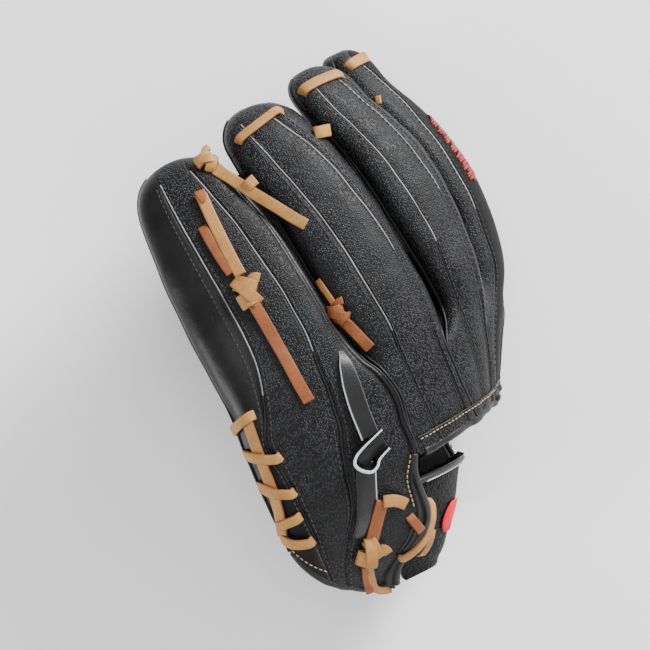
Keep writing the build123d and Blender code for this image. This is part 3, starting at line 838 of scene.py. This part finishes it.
# the tie of the finger loop
laidThong("laceLoopTop", [(-54.2, 101.5, -2.5), (-54, 99.5, 0.4), (-54, 88), (-53.6, 72), (-53, 58),
                          (-52.5, 51, 1)], pinky, 6.8, 2.0, 1.6, stands=["lace_loop_top"], rims=(0.3, 0.9))
laidThong("laceLoopTurn", [(-54, 102.6, 0.2), (-54.2, 99, 1.2), (-54.5, 95.5, 1.4)], pinky, 6.2, 1.6, 2.6,
          material=rustLace, taper=[1, 0.9, 0.3])
laidThong("laceLoopSide", [(-60.5, 85, -2.5), (-60.3, 81.5), (-59.6, 72), (-58.4, 62), (-57, 54, 0.5)], pinky,
          5.6, 2.0, 1.2, stands=["lace_loop_side"], material=rustLace)
knotAt("knotLoop", -53.5, 41.5, pinky, 76, 21, 5.6, 4.0, 9.0, 0.4, stands=["knot_loop"])
loopTail = [(-53, 34, 1.6), (-51.8, 24, 0.5), (-50.6, 10), (-49.6, -4), (-48.9, -16), (-48, -27.5, 0.8)]
path, ups = layOver(loopTail, 1.4)
tail = thong("laceLoopTail", path, ups, pinky, 7.0, 2.0, rustLace, ["lace_loop_tail"], twist=[0, 8, -10, 6, 14])

# the small tie in the valley
laidThong("laceValleyThin", [(-15, 31, -1.5), (-14, 27), (-13, 21), (-12, 15)], hand, 3.6, 1.8, 1.4, flat=0.5)
knotAt("knotValley", -12, 9.5, hand, 104, 14, 3.8, 2.8, 6.6, 0.2, stands=["knot_valley"], material=rustLace)
laidThong("laceValleyTail", [(-11.5, 5, 1), (-9.5, 0, 0.5), (-7, -8), (-4.5, -15.5)], hand, 6.6, 2.0, 1.6,
          material=rustLace, stands=["lace_valley_tail"], twist=[10, -5, 8], flat=0.7)

# the black pull lace: down from its slit, folded over, round a loop and on below
laidThong("lacePull", [(-19.5, -8, -2.2), (-21, -16, 0.3), (-23.2, -30, 0.6), (-25, -44, 0.8), (-26, -59.5, 1.2)],
          pinky, 11.0, 1.7, 1.3, taut=False, material=blackLace, stands=["lace_pull"],
          taper=[0.12, 0.72, 0.95, 1, 1, 1], rims=(0.12, 1.0))
turned = [(-19.5, -57.5), (-25, -59.3), (-31.5, -61.5), (-37.5, -64.2), (-40.3, -67.8), (-38.8, -72),
          (-34.3, -75.3), (-30.3, -74), (-27.5, -71), (-20, -68)]
laidThong("lacePullLoop", turned, pinky, 6.0, 1.5, 4.2, taut=False, material=blackLace, twist=[90, 90],
          taper=[0.7, 0.9, 1.0, 1.25, 1.5, 1.5, 1.3, 1.0, 0.8])
laidThong("lacePullFace", [(-20, -62.8, 0), (-27, -64.5, 0), (-34, -68.5, 0.2), (-37.5, -71, 0)], pinky, 9.5, 1.5,
          1.6, taut=False, material=blackLace, rims=(0, 0))
laidThong("lacePullEnd", [(-33.5, -71, -0.2), (-37, -79, 0), (-42, -91, 0), (-47.5, -101.5, 0),
                          (-53.5, -110, -1)], pinky, 11.5, 1.4, 0.7, taut=False, material=blackLace,
          rims=(0.9, 0.0))

# the wrist tie
laidThong("laceWristTop", [(-23.5, -102.5, -1.5), (-25.5, -100, 0.8), (-29, -97, 2.0), (-34.5, -94.8, 2.4)],
          pinky, 7.2, 2.0, 1.6, flat=0.4)
laidThong("laceWristLow", [(-34.5, -94.6, 1.0), (-37, -97.5, 1.2), (-42, -103.5, 0.8), (-47, -109.5, 1),
                           (-50, -113, 1)], pinky, 7.2, 2.0, 1.4, material=rustLace, stands=["lace_wrist"],
          flat=0.4)
knotAt("knotWrist", -53, -118, pinky, 32, 19, 5.6, 4.2, 8.5, 0.4, stands=["knot_wrist"])
laidThong("laceWristTail", [(-58.5, -123, 1.2), (-61, -130, 1.0), (-62.5, -137, 2.0)], pinky, 4.6, 2.0, 1.4,
          material=rustLace)
laidThong("laceWristTail2", [(-56, -124, 1.2), (-58, -131, 1.6), (-58.8, -137.5, 1.4), (-56, -141.3, 0.5),
                             (-51, -143.2, -0.5)], pinky, 4.4, 2.0, 1.8, flat=0.8)

# heel lacing up the outer edge
laidThong("laceHeelEdge", [(-83, -23, 0), (-84.8, -40, 0), (-86, -56, 0), (-88, -74, 0), (-92, -89, 0)], pinky,
          6.4, 2.0, 1.2, taut=False, stands=["lace_heel_edge"])
heelTies = [((-93.5, -25), (-86, -23), (-79.5, -21.5)), ((-93, -40), (-85, -44.5), (-76, -48.5)),
            ((-93.5, -59), (-86, -65), (-77, -69.5)), ((-93.5, -83), (-87, -83), (-80, -83.5)),
            ((-94.5, -90), (-88, -95), (-79.5, -98.5))]
for k, (a, b, d) in enumerate(heelTies):
    run = [(a[0] + 0.8, a[1], -3), (a[0] + 2.5, a[1], 0.6), b + (2.0,), (d[0] - 1.5, d[1], 0.8),
           (d[0] + 1, d[1], -2)]
    laidThong("laceHeel%d" % (k + 1), run, pinky, 5.8, 2.0, 1.6, taut=False,
              stands=["lace_heel_%d" % (k + 1)] if k < 4 else ())
print("laces made")


# bindings with gold stitching along the lower edges

def bottomRow(name, back, lift, first=0.0, last=1.0):
    # a row of a skin's grid, some rows back from its lower edge, between two shares of its top
    skin = skins[name]
    width = skin["marks"][-1]
    part = slice(int(width * first), int(width * last) + 1)
    ups = skin["normals"][-1 - back, part]
    return skin["grid"][-1 - back, part] + ups * lift, ups


def columnRun(skin, low, high, column, lift):
    # a column of a skin's grid between two heights
    y = skin["grid"][:, skin["marks"][-1], 1]
    rows = np.nonzero((y > low) & (y < high))[0]
    ups = skin["normals"][rows, column]
    return skin["grid"][rows, column] + ups * lift, ups


def backRow(back, lift, first=0.0):
    return joinRows(bottomRow("ring", back, lift, first), bottomRow("middle", back, lift),
                    bottomRow("index", max(back - 2, 0), lift))


roll = flatProfile(5.0, 4.2, 16, 2.6)
tubeAlong("bindingBack", *backRow(0, -1.5), roll, weltBlack, hand, ["binding_back"])
stitches("stitchesBack", [backRow(11, 0.5, 0.02)], goldThread, hand, 2.9, 2.1, 0.38)
tubeAlong("bindingLip", *backRow(13, 0.5, 0.02), flatProfile(1.1, 1.2, 8, 3), weltBlack, hand)
tubeAlong("bindingHeel", *joinRows(bottomRow("pinky", 0, -1.5)), roll, weltBlack, pinky, ["binding_heel"])
stitches("stitchesHeel", [joinRows(bottomRow("pinky", 6, 0.6, 0.0, 0.36))], goldThread, pinky, 3.1, 2.1, 0.4)
pinkySkin = skins["pinky"]
centre = joinRows(columnRun(pinkySkin, -200, -77, pinkySkin["marks"][-1], -1.5))
tubeAlong("bindingCentre", *centre, flatProfile(4.8, 4.2, 16, 2.6), weltBlack, pinky)
centre = joinRows(columnRun(pinkySkin, -111, -76, pinkySkin["marks"][-2], 0.6))
stitches("stitchesCentre", [centre], goldThread, pinky, 2.9, 2.1, 0.5)
print("bindings made")


# the wrist strap

strap = {"side": track((-143, -25), (-136, -16), (-128, -9.5), (-116, 0.5), (-110, 4.5), (-103, 8.5), (-96, 13),
                       (-91, 17)), "left": track((-143, -42), (-128, -40), (-112, -30), (-91, -22)), "top": -91.5,
         "bottom": -142.5, "low": 34.0, "thick": 4.0, "sink": 6.5}


def strapZ(x, y):
    reach = np.clip((x - crestX) / (strap["side"](y) + 1.5 - crestX), 0, 1)
    top = crestZ(y) - 5.5
    z = strap["low"] + (top - strap["low"]) * np.sqrt(np.maximum(1 - reach ** 2.6, 0))
    return z - strap["sink"] * smoothStep(x, -12, -32)


def strapGrid(inset):
    v = np.linspace(0, 1, 46)[:, None]
    u = np.linspace(0, 1, 90)[None, :]
    y = strap["top"] + (strap["bottom"] - strap["top"]) * v + 0 * u
    y = y - 0.8 * np.sin(pi * u) * (1 - v)
    left, right = strap["left"](y), strap["side"](y) + 1.45
    x = left + (right - left) * np.sin(u * pi / 2)
    grid = stack(x, y, strapZ(x, y))
    normal = -surfaceNormals(grid)
    normal = np.where(normal[..., 2:] < 0, -normal, normal)
    edge = np.minimum(v, 1 - v) * (strap["top"] - strap["bottom"])
    roll = 1.2 * smoothStep(edge + 0 * u, 3.2, 0.6)
    return grid + normal * (roll[..., None] - inset + 0.3 * ripple(grid, 9, 5)[..., None])


outer, inner = strapGrid(0.0), strapGrid(strap["thick"])
loop = np.concatenate([outer, inner[:, ::-1]], axis=1)
zone = np.zeros((loop.shape[0] - 1, loop.shape[1]), int)
zone[:3, :90] = 1
strapPiece = gridPiece("wristStrap", loop, [strapScales, softBlack], True, zone, flip=True)
settle(strapPiece, hand, ["wrist_strap", "strap_lining"])
strapHeight = heightOf(["wristStrap", "skin_pinky"])
normal = -surfaceNormals(outer)
tubeAlong("strapRoll", outer[2] + normal[2] * 0.3, normal[2], flatProfile(3.6, 3.0, 12, 2.6), weltBlack, hand)
tubeAlong("strapPiping", outer[3, 24:78] + normal[3, 24:78] * 1.4, normal[3, 24:78],
          flatProfile(1.1, 1.1, 8, 2.6), rawEdge, hand)


# laces that tie the strap to the heel, given both bodies; they are baked in place and parented to neither
halfway = (pinky, hand, inFrame(-75, 0, 90), inFrame(25, 0, 90))


def onStrap(name, points, width, body, **more):
    path, ups = layOver(points, 1.5, True, strapHeight)
    return thong(name, path, ups, body, width, 2.0, **more)


onStrap("laceStrapLong", [(-10, -106, -2.5), (-11.5, -109, 0.3), (-14.5, -116.5), (-21, -123.5), (-29, -127.5),
                          (-37, -129), (-39.5, -129.2, -2)], 5.4, halfway, stands=["lace_strap_top"])
onStrap("laceStrapShort", [(-24.5, -109.5, -2), (-24.2, -112, 0.3), (-22.8, -117, 0.2), (-21.3, -122.5, -1.5)],
        5.6, pinky, material=rustLace)
onStrap("laceStrapBranch", [(-16.5, -121.5, 0), (-20.5, -125, 1.6), (-24.5, -128.7, 1.6), (-28, -131.5, 0.5),
                            (-29, -132.5, -2)], 5.2, halfway)
print("strap made")


# the side away from the back: thumb, palm, web and the leather between them

wristX = track((-142, -25), (-136, -17), (-128, -10.5), (-116, 0), (-110, 4), (-103, 8), (-96, 12.5), (-91, 15),
               (-84, 14.5), (-79, 17), (-74, 28), (-68, 46), (-60, 60))
thumbLeft = track((-128, -20), (-118, -34), (-100, -42), (-60, -38), (-20, -28), (25, -27))
thumb = {"left": track((-20, -24), (20, -26), (60, -27), (80, -26)),
         "right": track((-20, 40), (20, 37), (60, 31), (80, 28)),
         "height": track((-20, 14.6), (40, 14.6), (80, 21)), "tip": 80.0, "round": 26.0, "half": 13.6,
         "wall": 3.2, "heelLow": 0.6, "heelHigh": 32.6, "heelY": -121.5}


def sheetShell(grid, thick):
    # a closed sheet about a middle surface, its rim rounded
    rows, cols = grid.shape[:2]
    normal = surfaceNormals(grid)
    r = np.minimum(np.arange(rows), np.arange(rows)[::-1])[:, None]
    c = np.minimum(np.arange(cols), np.arange(cols)[::-1])[None, :]
    rim = np.clip(np.minimum(r, c) / 2.5, 0, 1)
    half = (thick / 2) * np.sqrt(1 - (1 - rim) ** 2) + 0.04
    loop = np.concatenate([grid + normal * half[..., None], (grid - normal * half[..., None])[:, ::-1]], axis=1)
    n = 2 * cols
    j = np.arange(cols - 1)
    first = np.stack([j + 1, j, n - 1 - j, n - 2 - j], axis=-1)
    last = np.stack([j, j + 1, n - 2 - j, n - 1 - j], axis=-1) + (rows - 1) * n
    return loop.reshape(-1, 3), np.vstack([gridFaces(rows, n, True), first, last])


def leatherSheet(name, grid, thick, body, material, stands=(), wave=0.5):
    grid = grid + surfaceNormals(grid) * (wave * ripple(grid, 14.0, len(name)))[..., None]
    return settle(makeMesh(name, *sheetShell(grid, thick), material), body, stands)


def rimStitches(name, grid, body, inset, lift, sides=("first", "last", "left", "right"), material=darkThread):
    normal = surfaceNormals(grid)
    runs = {"first": (inset, slice(inset, -inset)), "last": (-1 - inset, slice(inset, -inset)),
            "left": (slice(inset, -inset), inset), "right": (slice(inset, -inset), -1 - inset)}
    rows = []
    for side in sides:
        at = runs[side]
        rows.append(joinRows((grid[at] + normal[at] * lift, normal[at] * np.sign(lift))))
    return stitches(name, rows, material, body, 3.6, 2.5, 0.42)


def sheetGrid(ys, xs):
    # a mesh of plan places: ys down the rows, xs(y) gives both ends of each row
    v = np.asarray(ys, float)[:, None]
    t = np.linspace(0, 1, xs[2])[None, :]
    a, b = xs[0](v), xs[1](v)
    return a + (b - a) * t, v + 0 * t


reachX = lambda share, y: crestX + share * (sideX(y) - crestX)

# the palm, one sheet from the heel to the fold
palm = {"top": 23, "heel": -117, "left": -86, "under": 34.6, "thick": 3.2, "thumbHeel": -121, "thumbZ": 34.9}


def palmRight(y):
    return np.where(y > -84, reachX(0.97, y), np.minimum(reachX(0.97, y), wristX(y) - 12))


x, y = sheetGrid(np.linspace(palm["top"], palm["heel"], 90), (lambda v: palm["left"] + 0 * v, palmRight, 120))
palmGrid = onDome(x, y, -palm["under"])
acrossPalm = (pinky, hand, inFrame(-27, 0, 90), inFrame(-3, 0, 90))
leatherSheet("palmSheet", palmGrid, palm["thick"], acrossPalm, palmBlack, ["palm_pinky", "palm_fingers"], 0.35)
rimStitches("palmStitches", palmGrid, acrossPalm, 4, -1.8, ("first", "last", "left"))

ys = np.linspace(palm["top"], palm["thumbHeel"], 90)
x, y = sheetGrid(ys, (thumbLeft, lambda v: np.minimum(foldX(v) - 8, wristX(v) - 4), 60))
thumbPalmGrid = stack(x, y, palm["thumbZ"] + 0 * x)
leatherSheet("palmThumb", thumbPalmGrid, palm["thick"], thumbBody, palmBlack, ["palm_thumb"], 0.3)
rimStitches("palmThumbStitches", thumbPalmGrid, thumbBody, 4, -1.8)


def thumbRing(y, a, inset):
    # the stall's section, opening out below the knuckle into the heel
    left, right = thumb["left"](y), thumb["right"](y)
    share = np.maximum(1 - (1 - np.clip((thumb["tip"] - inset - y) / thumb["round"], 0, 1)) ** 2.4,
                       0) ** (1 / 2.4)
    wide = ((right - left) / 2 - inset) * share
    high = (thumb["half"] - inset) * (0.25 + 0.75 * share) * np.clip(share * 6, 0, 1)
    x, z = (left + right) / 2 + wide * bulged(np.cos(a), 3.0), thumb["height"](y) + high * bulged(np.sin(a), 3.0)
    heelLeft, heelRight = thumbLeft(y), np.minimum(foldX(y) - 4, wristX(y) - 3)
    middle, half = (thumb["heelLow"] + thumb["heelHigh"]) / 2, (thumb["heelHigh"] - thumb["heelLow"]) / 2 - inset
    hx = (heelLeft + heelRight) / 2 + ((heelRight - heelLeft) / 2 - inset) * bulged(np.cos(a), 4.0)
    hz = middle + half * bulged(np.sin(a), 4.0)
    s = smoothStep(y, -8, -40)
    return x + (hx - x) * s, z + (hz - z) * s


nose = lambda tip, a, b, count: tip - thumb["round"] * (1 - np.cos(np.linspace(a, b, count)))
outside = np.concatenate([nose(thumb["tip"], 0, pi / 2, 22), np.arange(52, -121, -1.8), [thumb["heelY"]]])
inside = np.concatenate([[thumb["heelY"]], np.arange(-120, 50, 3.0),
                         nose(thumb["tip"] - thumb["wall"], pi / 2, 0, 10)])
around = 96
turn = np.linspace(0, 2 * pi, around, endpoint=False)
ox, oz = thumbRing(outside[:, None] + 0 * turn, turn[None] + 0 * outside[:, None], 0.0)
ix, iz = thumbRing(inside[:, None] + 0 * turn, turn[None] + 0 * inside[:, None], thumb["wall"])
outerThumb = stack(ox, outside[:, None] + 0 * turn, oz)
normal = surfaceNormals(outerThumb, True)
fade = smoothStep(outerThumb[..., 1], thumb["tip"], thumb["tip"] - 12)
seamDip = 0.9 * np.exp(-((np.abs(np.sin(turn)) * 40) / 3.0) ** 2)[None, :]
sign = np.sign(((outerThumb - outerThumb.mean(axis=1, keepdims=True)) * normal).sum(-1).mean())
outerThumb = outerThumb + sign * normal * ((0.35 * ripple(outerThumb, 9, 4) - 0.3 - seamDip) * fade)[..., None]
thumbGrid = np.concatenate([outerThumb, stack(ix, inside[:, None] + 0 * turn, iz)], axis=0)
zone = np.zeros((thumbGrid.shape[0] - 1, around), int)
zone[len(outside):] = 1
thumbSkin = gridPiece("thumbSkin", thumbGrid, [pebbled, liningDark], True, zone, flip=sign < 0)
settle(thumbSkin, thumbBody, ["stall_thumb", "back_thumb"])


def thumbLine(j, first, last, lift):
    ups = sign * normal[first:last, j]
    return joinRows((outerThumb[first:last, j] + ups * lift, ups))


for k, j in enumerate((0, around // 2)):
    tubeAlong("thumbWelt%d" % (k + 1), *thumbLine(j, 18, -4, 0.6), flatProfile(1.8, 2.2, 10, 3), weltBlack,
              thumbBody)
rows = [thumbLine(j, 20, -6, 0.3) for j in (3, 45, 51, 93, 68, 76)]
stitches("thumbStitches", rows, darkThread, thumbBody, 3.4, 2.3, 0.4)
x, z = thumbRing(np.full(around, thumb["heelY"]), turn, 1.2)
rim = stack(x, thumb["heelY"], z)
tubeAlong("thumbBinding", np.vstack([rim, rim[:2]]), np.tile([0.0, -1.0, 0.0], (around + 2, 1)),
          flatProfile(4.2, 4.2, 12, 2.6), weltBlack, thumbBody)

# the fold at the bottom of the pocket, and the leather round its outside
ys = np.linspace(23, -80, 60)[:, None]
t = np.linspace(0, 1, 24)[None, :]
a = stack(np.minimum(foldX(ys) - 13, wristX(ys) - 9), ys, 37.6)
b = onDome(reachX(0.955, ys), ys, -31.2)
c = stack(np.minimum(foldX(ys) + 1, wristX(ys) - 2), ys, 30.0)
foldGrid = a * (1 - t[..., None]) ** 2 + 2 * c * (t * (1 - t))[..., None] + b * t[..., None] ** 2
leatherSheet("pocketFold", foldGrid, 2.0, (thumbBody, hand, inFrame(40, 0, 36), inFrame(53, 0, 36)), palmBlack,
             (), 0.2)

gusset = {"wide": track((-70, 10), (-64, 13), (-44, 21.5), (-22, 25), (0, 23), (26, 17)), "high": 25,
          "thick": 3.0, "top": 26, "bottom": -68, "from": 14, "to": -116}
ys = np.linspace(gusset["top"], gusset["bottom"], 60)[:, None]
t = np.radians(np.linspace(gusset["from"], gusset["to"], 44))[None, :]
x = foldX(ys) + gusset["wide"](ys) * np.cos(t)
gussetGrid = stack(np.minimum(x, wristX(ys) - 1), ys, foldZ + gusset["high"] * np.sin(t))
acrossGusset = (hand, thumbBody, inFrame(50, 0, 34), inFrame(50, 0, 8))
leatherSheet("sideGusset", gussetGrid, gusset["thick"], acrossGusset, softBlack, ["gusset_thumb"], 0.5)
outward = np.sign(surfaceNormals(gussetGrid)[20, 10, 0])
rimStitches("gussetStitches", gussetGrid, acrossGusset, 4, 1.6 * outward)

ys = np.linspace(-76, -121, 34)[:, None]
t = np.radians(np.linspace(-8, -60, 20))[None, :]
flapGrid = stack(wristX(ys) - 11 + 9 * np.cos(t), ys, foldZ + 24 * np.sin(t))
leatherSheet("strapSide", flapGrid, 3.0, thumbBody, softBlack, ["strap_thumb"], 0.3)
outward = np.sign(surfaceNormals(flapGrid)[10, 5, 0])
rimStitches("strapSideStitches", flapGrid, thumbBody, 3, 1.6 * outward, material=goldThread)

# the web: a leather leg on each side of the fold, laced across
webLeft = track((24, 38), (60, 34), (76, 28), (84, 12), (112, 2))
web = {"z": 33.6, "under": 32.6, "low": 25, "high": 111, "thick": 3.0, "laces": (34, 50, 66, 82, 98, 108)}


def webGrid(ys, cols=60):
    v = np.asarray(ys, float)[:, None]
    low = np.minimum(foldX(v) - 8, 90 - 0.55 * v)
    points = [stack(webLeft(v), v, web["z"]), stack(low - 2, v, web["z"]),
              onDome(reachX(0.975, v), v, -web["under"]), onDome(reachX(0.86, v), v, -web["under"])]
    t = np.linspace(0, 1, cols)
    knots = [0, 0.48, 0.58, 1]
    grid = np.zeros((len(ys), cols, 3))
    for k in range(3):
        at = np.clip((t - knots[k]) / (knots[k + 1] - knots[k]), 0, 1)
        inside = (t >= knots[k]) & (t <= knots[k + 1])
        grid = np.where(inside[None, :, None], points[k] + (points[k + 1] - points[k]) * at[None, :, None], grid)
    padded = np.pad(grid, ((0, 0), (3, 3), (0, 0)), "edge")
    return sum(padded[:, k:k + cols] for k in range(7)) / 7


webMiddle = webGrid(np.linspace(web["low"], web["high"], 70))
acrossWeb = (thumbBody, hand, inFrame(50, 60, 36), inFrame(50, 60, 48))
leatherSheet("webSheet", webMiddle, web["thick"], acrossWeb, softBlack, ["web_thumb", "web_index"], 0.25)
inward = 1 if surfaceNormals(webMiddle)[30, 15, 2] > 0 else -1
rimStitches("webStitches", webMiddle, acrossWeb, 3, 1.7 * inward)
for k, spot in enumerate(web["laces"]):
    line = webGrid([spot - 0.6, spot, spot + 0.6])
    normal = surfaceNormals(line)[1] * inward
    path, ups = joinRows((line[1, 14:50] + normal[14:50] * 2.6, normal[14:50]))
    thong("laceWeb%d" % (k + 1), path, ups, acrossWeb, 5.2, 1.9, tanLace, ["lace_web"] if k == 5 else ())

# the palm leather turned up round the heel to meet the back
grid = pinkySkin["grid"]
leftEdge = grid[grid[:, 0, 1] < -14, 0]
bottomEdge = grid[-1, 1:int(pinkySkin["marks"][-1] * 0.8)]
edge, _ = joinRows((np.vstack([leftEdge, bottomEdge]), np.tile([0.0, 0.0, 1.0],
        (len(leftEdge) + len(bottomEdge), 1))))
middle = np.array([-55.0, -70.0])
outward = unit(edge[:, :2] - middle)
lowX, lowY = np.maximum(edge[:, 0] + 6.0, -86.0), np.maximum(edge[:, 1], -116.5)
top = edge + stack(outward[:, 0] * -1.2, outward[:, 1] * -1.2, -2.6 + 0 * lowX)
low = stack(lowX, lowY, domeZ(lowX, lowY) - 33.6)
bulge = (top + low) / 2 + stack(outward[:, 0] * 4, outward[:, 1] * 4, 0 * lowX)
t = np.linspace(0, 1, 20)[None, :, None]
wallGrid = top[:, None] * (1 - t) ** 2 + 2 * bulge[:, None] * t * (1 - t) + low[:, None] * t ** 2
leatherSheet("heelWall", wallGrid, 2.8, pinky, palmBlack, (), 0.3)
print("thumb, palm and web made")


# red embroidery without letters, and the strap's patch

grid, normals, marks = (skins["index"][key] for key in ("grid", "normals", "marks"))
middle = (marks[1] + marks[2]) / 2
embroidery = {"low": 44, "high": 88, "threads": 84, "waves": 7}
y = grid[:, int(middle), 1]
rowsAt = np.nonzero((y > embroidery["low"]) & (y < embroidery["high"]))[0]
spot = np.linspace(rowsAt[0], rowsAt[-1], embroidery["threads"])
wave = np.abs(np.sin(np.linspace(0, embroidery["waves"] * pi, embroidery["threads"])))
pick = lambda v, r, c: v[np.round(r).astype(int), np.round(c).astype(int)]
low, high = middle - 9 - 6 * wave, middle - 9 + 9 * wave
ups = pick(normals, spot, (low + high) / 2)
threads("redEmbroidery", pick(grid, spot, low) + ups * 0.5, pick(grid, spot - 1.5, high) + ups * 0.5, ups, 0.55,
        satinForm, redThread, hand)

t = np.linspace(0, 1, 26)[:, None]
s = np.linspace(0, 1, 16)[None, :]
patch = {"top": -112.5, "long": 15, "ends": 1.5, "swell": 5.5, "thick": 1.4}
py = patch["top"] - patch["long"] * t + 0 * s
px = strap["side"](py) + 0.9 - (patch["ends"] + patch["swell"] * np.sin(pi * t) ** 0.5) * (1 - s)
patchGrid = stack(px, py, strapZ(px, py))
out = surfaceNormals(patchGrid)
out = np.where(out[..., :1] < 0, -out, out)
leatherSheet("strapPatch", patchGrid + out, patch["thick"], hand, patchMaterial, (), 0.0)
print("trims made")


# the leather joining neighbouring fingers, deep in the valleys between them
acrossFingers = (pinky, hand, inFrame(-21, 0, 100), inFrame(-10, 0, 100))
valleys = {
    "valleyPinky": (columns["pinky"]["right"], columns["ring"]["left"], 103, 16, acrossFingers),
    "valleyRing": (columns["ring"]["right"], columns["middle"]["left"], 112, 15, hand),
    "valleyMiddle": (columns["middle"]["right"], track((-20, 62), (0, 70), (40, 75), (80, 70), (120, 54)), 120,
                     14, hand),
}
for name, (a, b, top, depth, body) in valleys.items():
    x, y = sheetGrid(np.linspace(-30, top, 70), (lambda v: a(v) - 7, lambda v: b(v) + 7, 16))
    leatherSheet(name, onDome(x, y, -depth), 2.0, body, palmBlack, (), 0.3)


# what each skin stands for, and the finishes of the CAD pieces that stay

standIns = {
    "pinky": ["stall_pinky", "panel_pinky_outer", "panel_pinky_back", "panel_centre", "panel_heel"],
    "ring": ["stall_ring", "panel_ring"], "middle": ["stall_middle", "panel_middle"],
    "index": ["stall_index", "panel_index"],
}
for name, nodes in standIns.items():
    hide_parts(*nodes)
kept = {"felt": felt, "lining": liningDark}
for thing in [o for o in bpy.data.objects if o.type == "MESH"]:
    if thing.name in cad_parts:
        material = kept.get(thing.name.split("_")[0])
        for held in thing.material_slots if material else ():
            held.link = "OBJECT"
            held.material = material


# camera and light

view = {"middle": (-22.0, 6.8, 80.0), "turn": -25.0, "wide": 364.0, "away": 3200.0}
target = (np.array(view["middle"]) + gloveShift) * 0.001
camera = bpy.data.cameras.new("camera")
camera.sensor_width = 36
camera.lens = 36 * view["away"] / view["wide"]
camera.clip_end = 50
eye = bpy.data.objects.new("camera", camera)
eye.location = (target[0], target[1], target[2] + view["away"] * 0.001)
eye.rotation_euler = (0, 0, radians(view["turn"]))
bpy.context.collection.objects.link(eye)
bpy.context.scene.camera = eye


def softLight(name, place, size, power):
    lamp = bpy.data.lights.new(name, "AREA")
    lamp.shape, lamp.size, lamp.size_y = "RECTANGLE", size[0], size[1]
    lamp.energy = power
    thing = bpy.data.objects.new(name, lamp)
    thing.location = place
    thing.rotation_euler = (Vector((0, 0, 0.06)) - Vector(place)).to_track_quat("-Z", "Y").to_euler()
    bpy.context.collection.objects.link(thing)


softLight("keyLight", (1.6, 0.9, 0.85), (0.8, 0.8), 110)
softLight("overLight", (0.1, 0.1, 2.4), (1.2, 1.2), 16)
softLight("leftLight", (-1.7, -0.2, 0.6), (0.6, 1.0), 26)
softLight("footLight", (0.3, -1.6, 0.9), (1.2, 0.5), 16)
world = bpy.data.worlds.new("studio")
world.use_nodes = True
world.node_tree.nodes["Background"].inputs[0].default_value = (1, 1, 1, 1)
world.node_tree.nodes["Background"].inputs[1].default_value = 0.5
bpy.context.scene.world = world
floorMesh = bpy.data.meshes.new("studioFloor")
floorMesh.from_pydata([(-4, -4, 0), (4, -4, 0), (4, 4, 0), (-4, 4, 0)], [], [(0, 1, 2, 3)])
floor = bpy.data.objects.new("studioFloor", floorMesh)
floorMesh.materials.append(Board("studioFloor", specular=0.1).finish(rgb(0.93, 0.93, 0.93), 0.9))
bpy.context.collection.objects.link(floor)
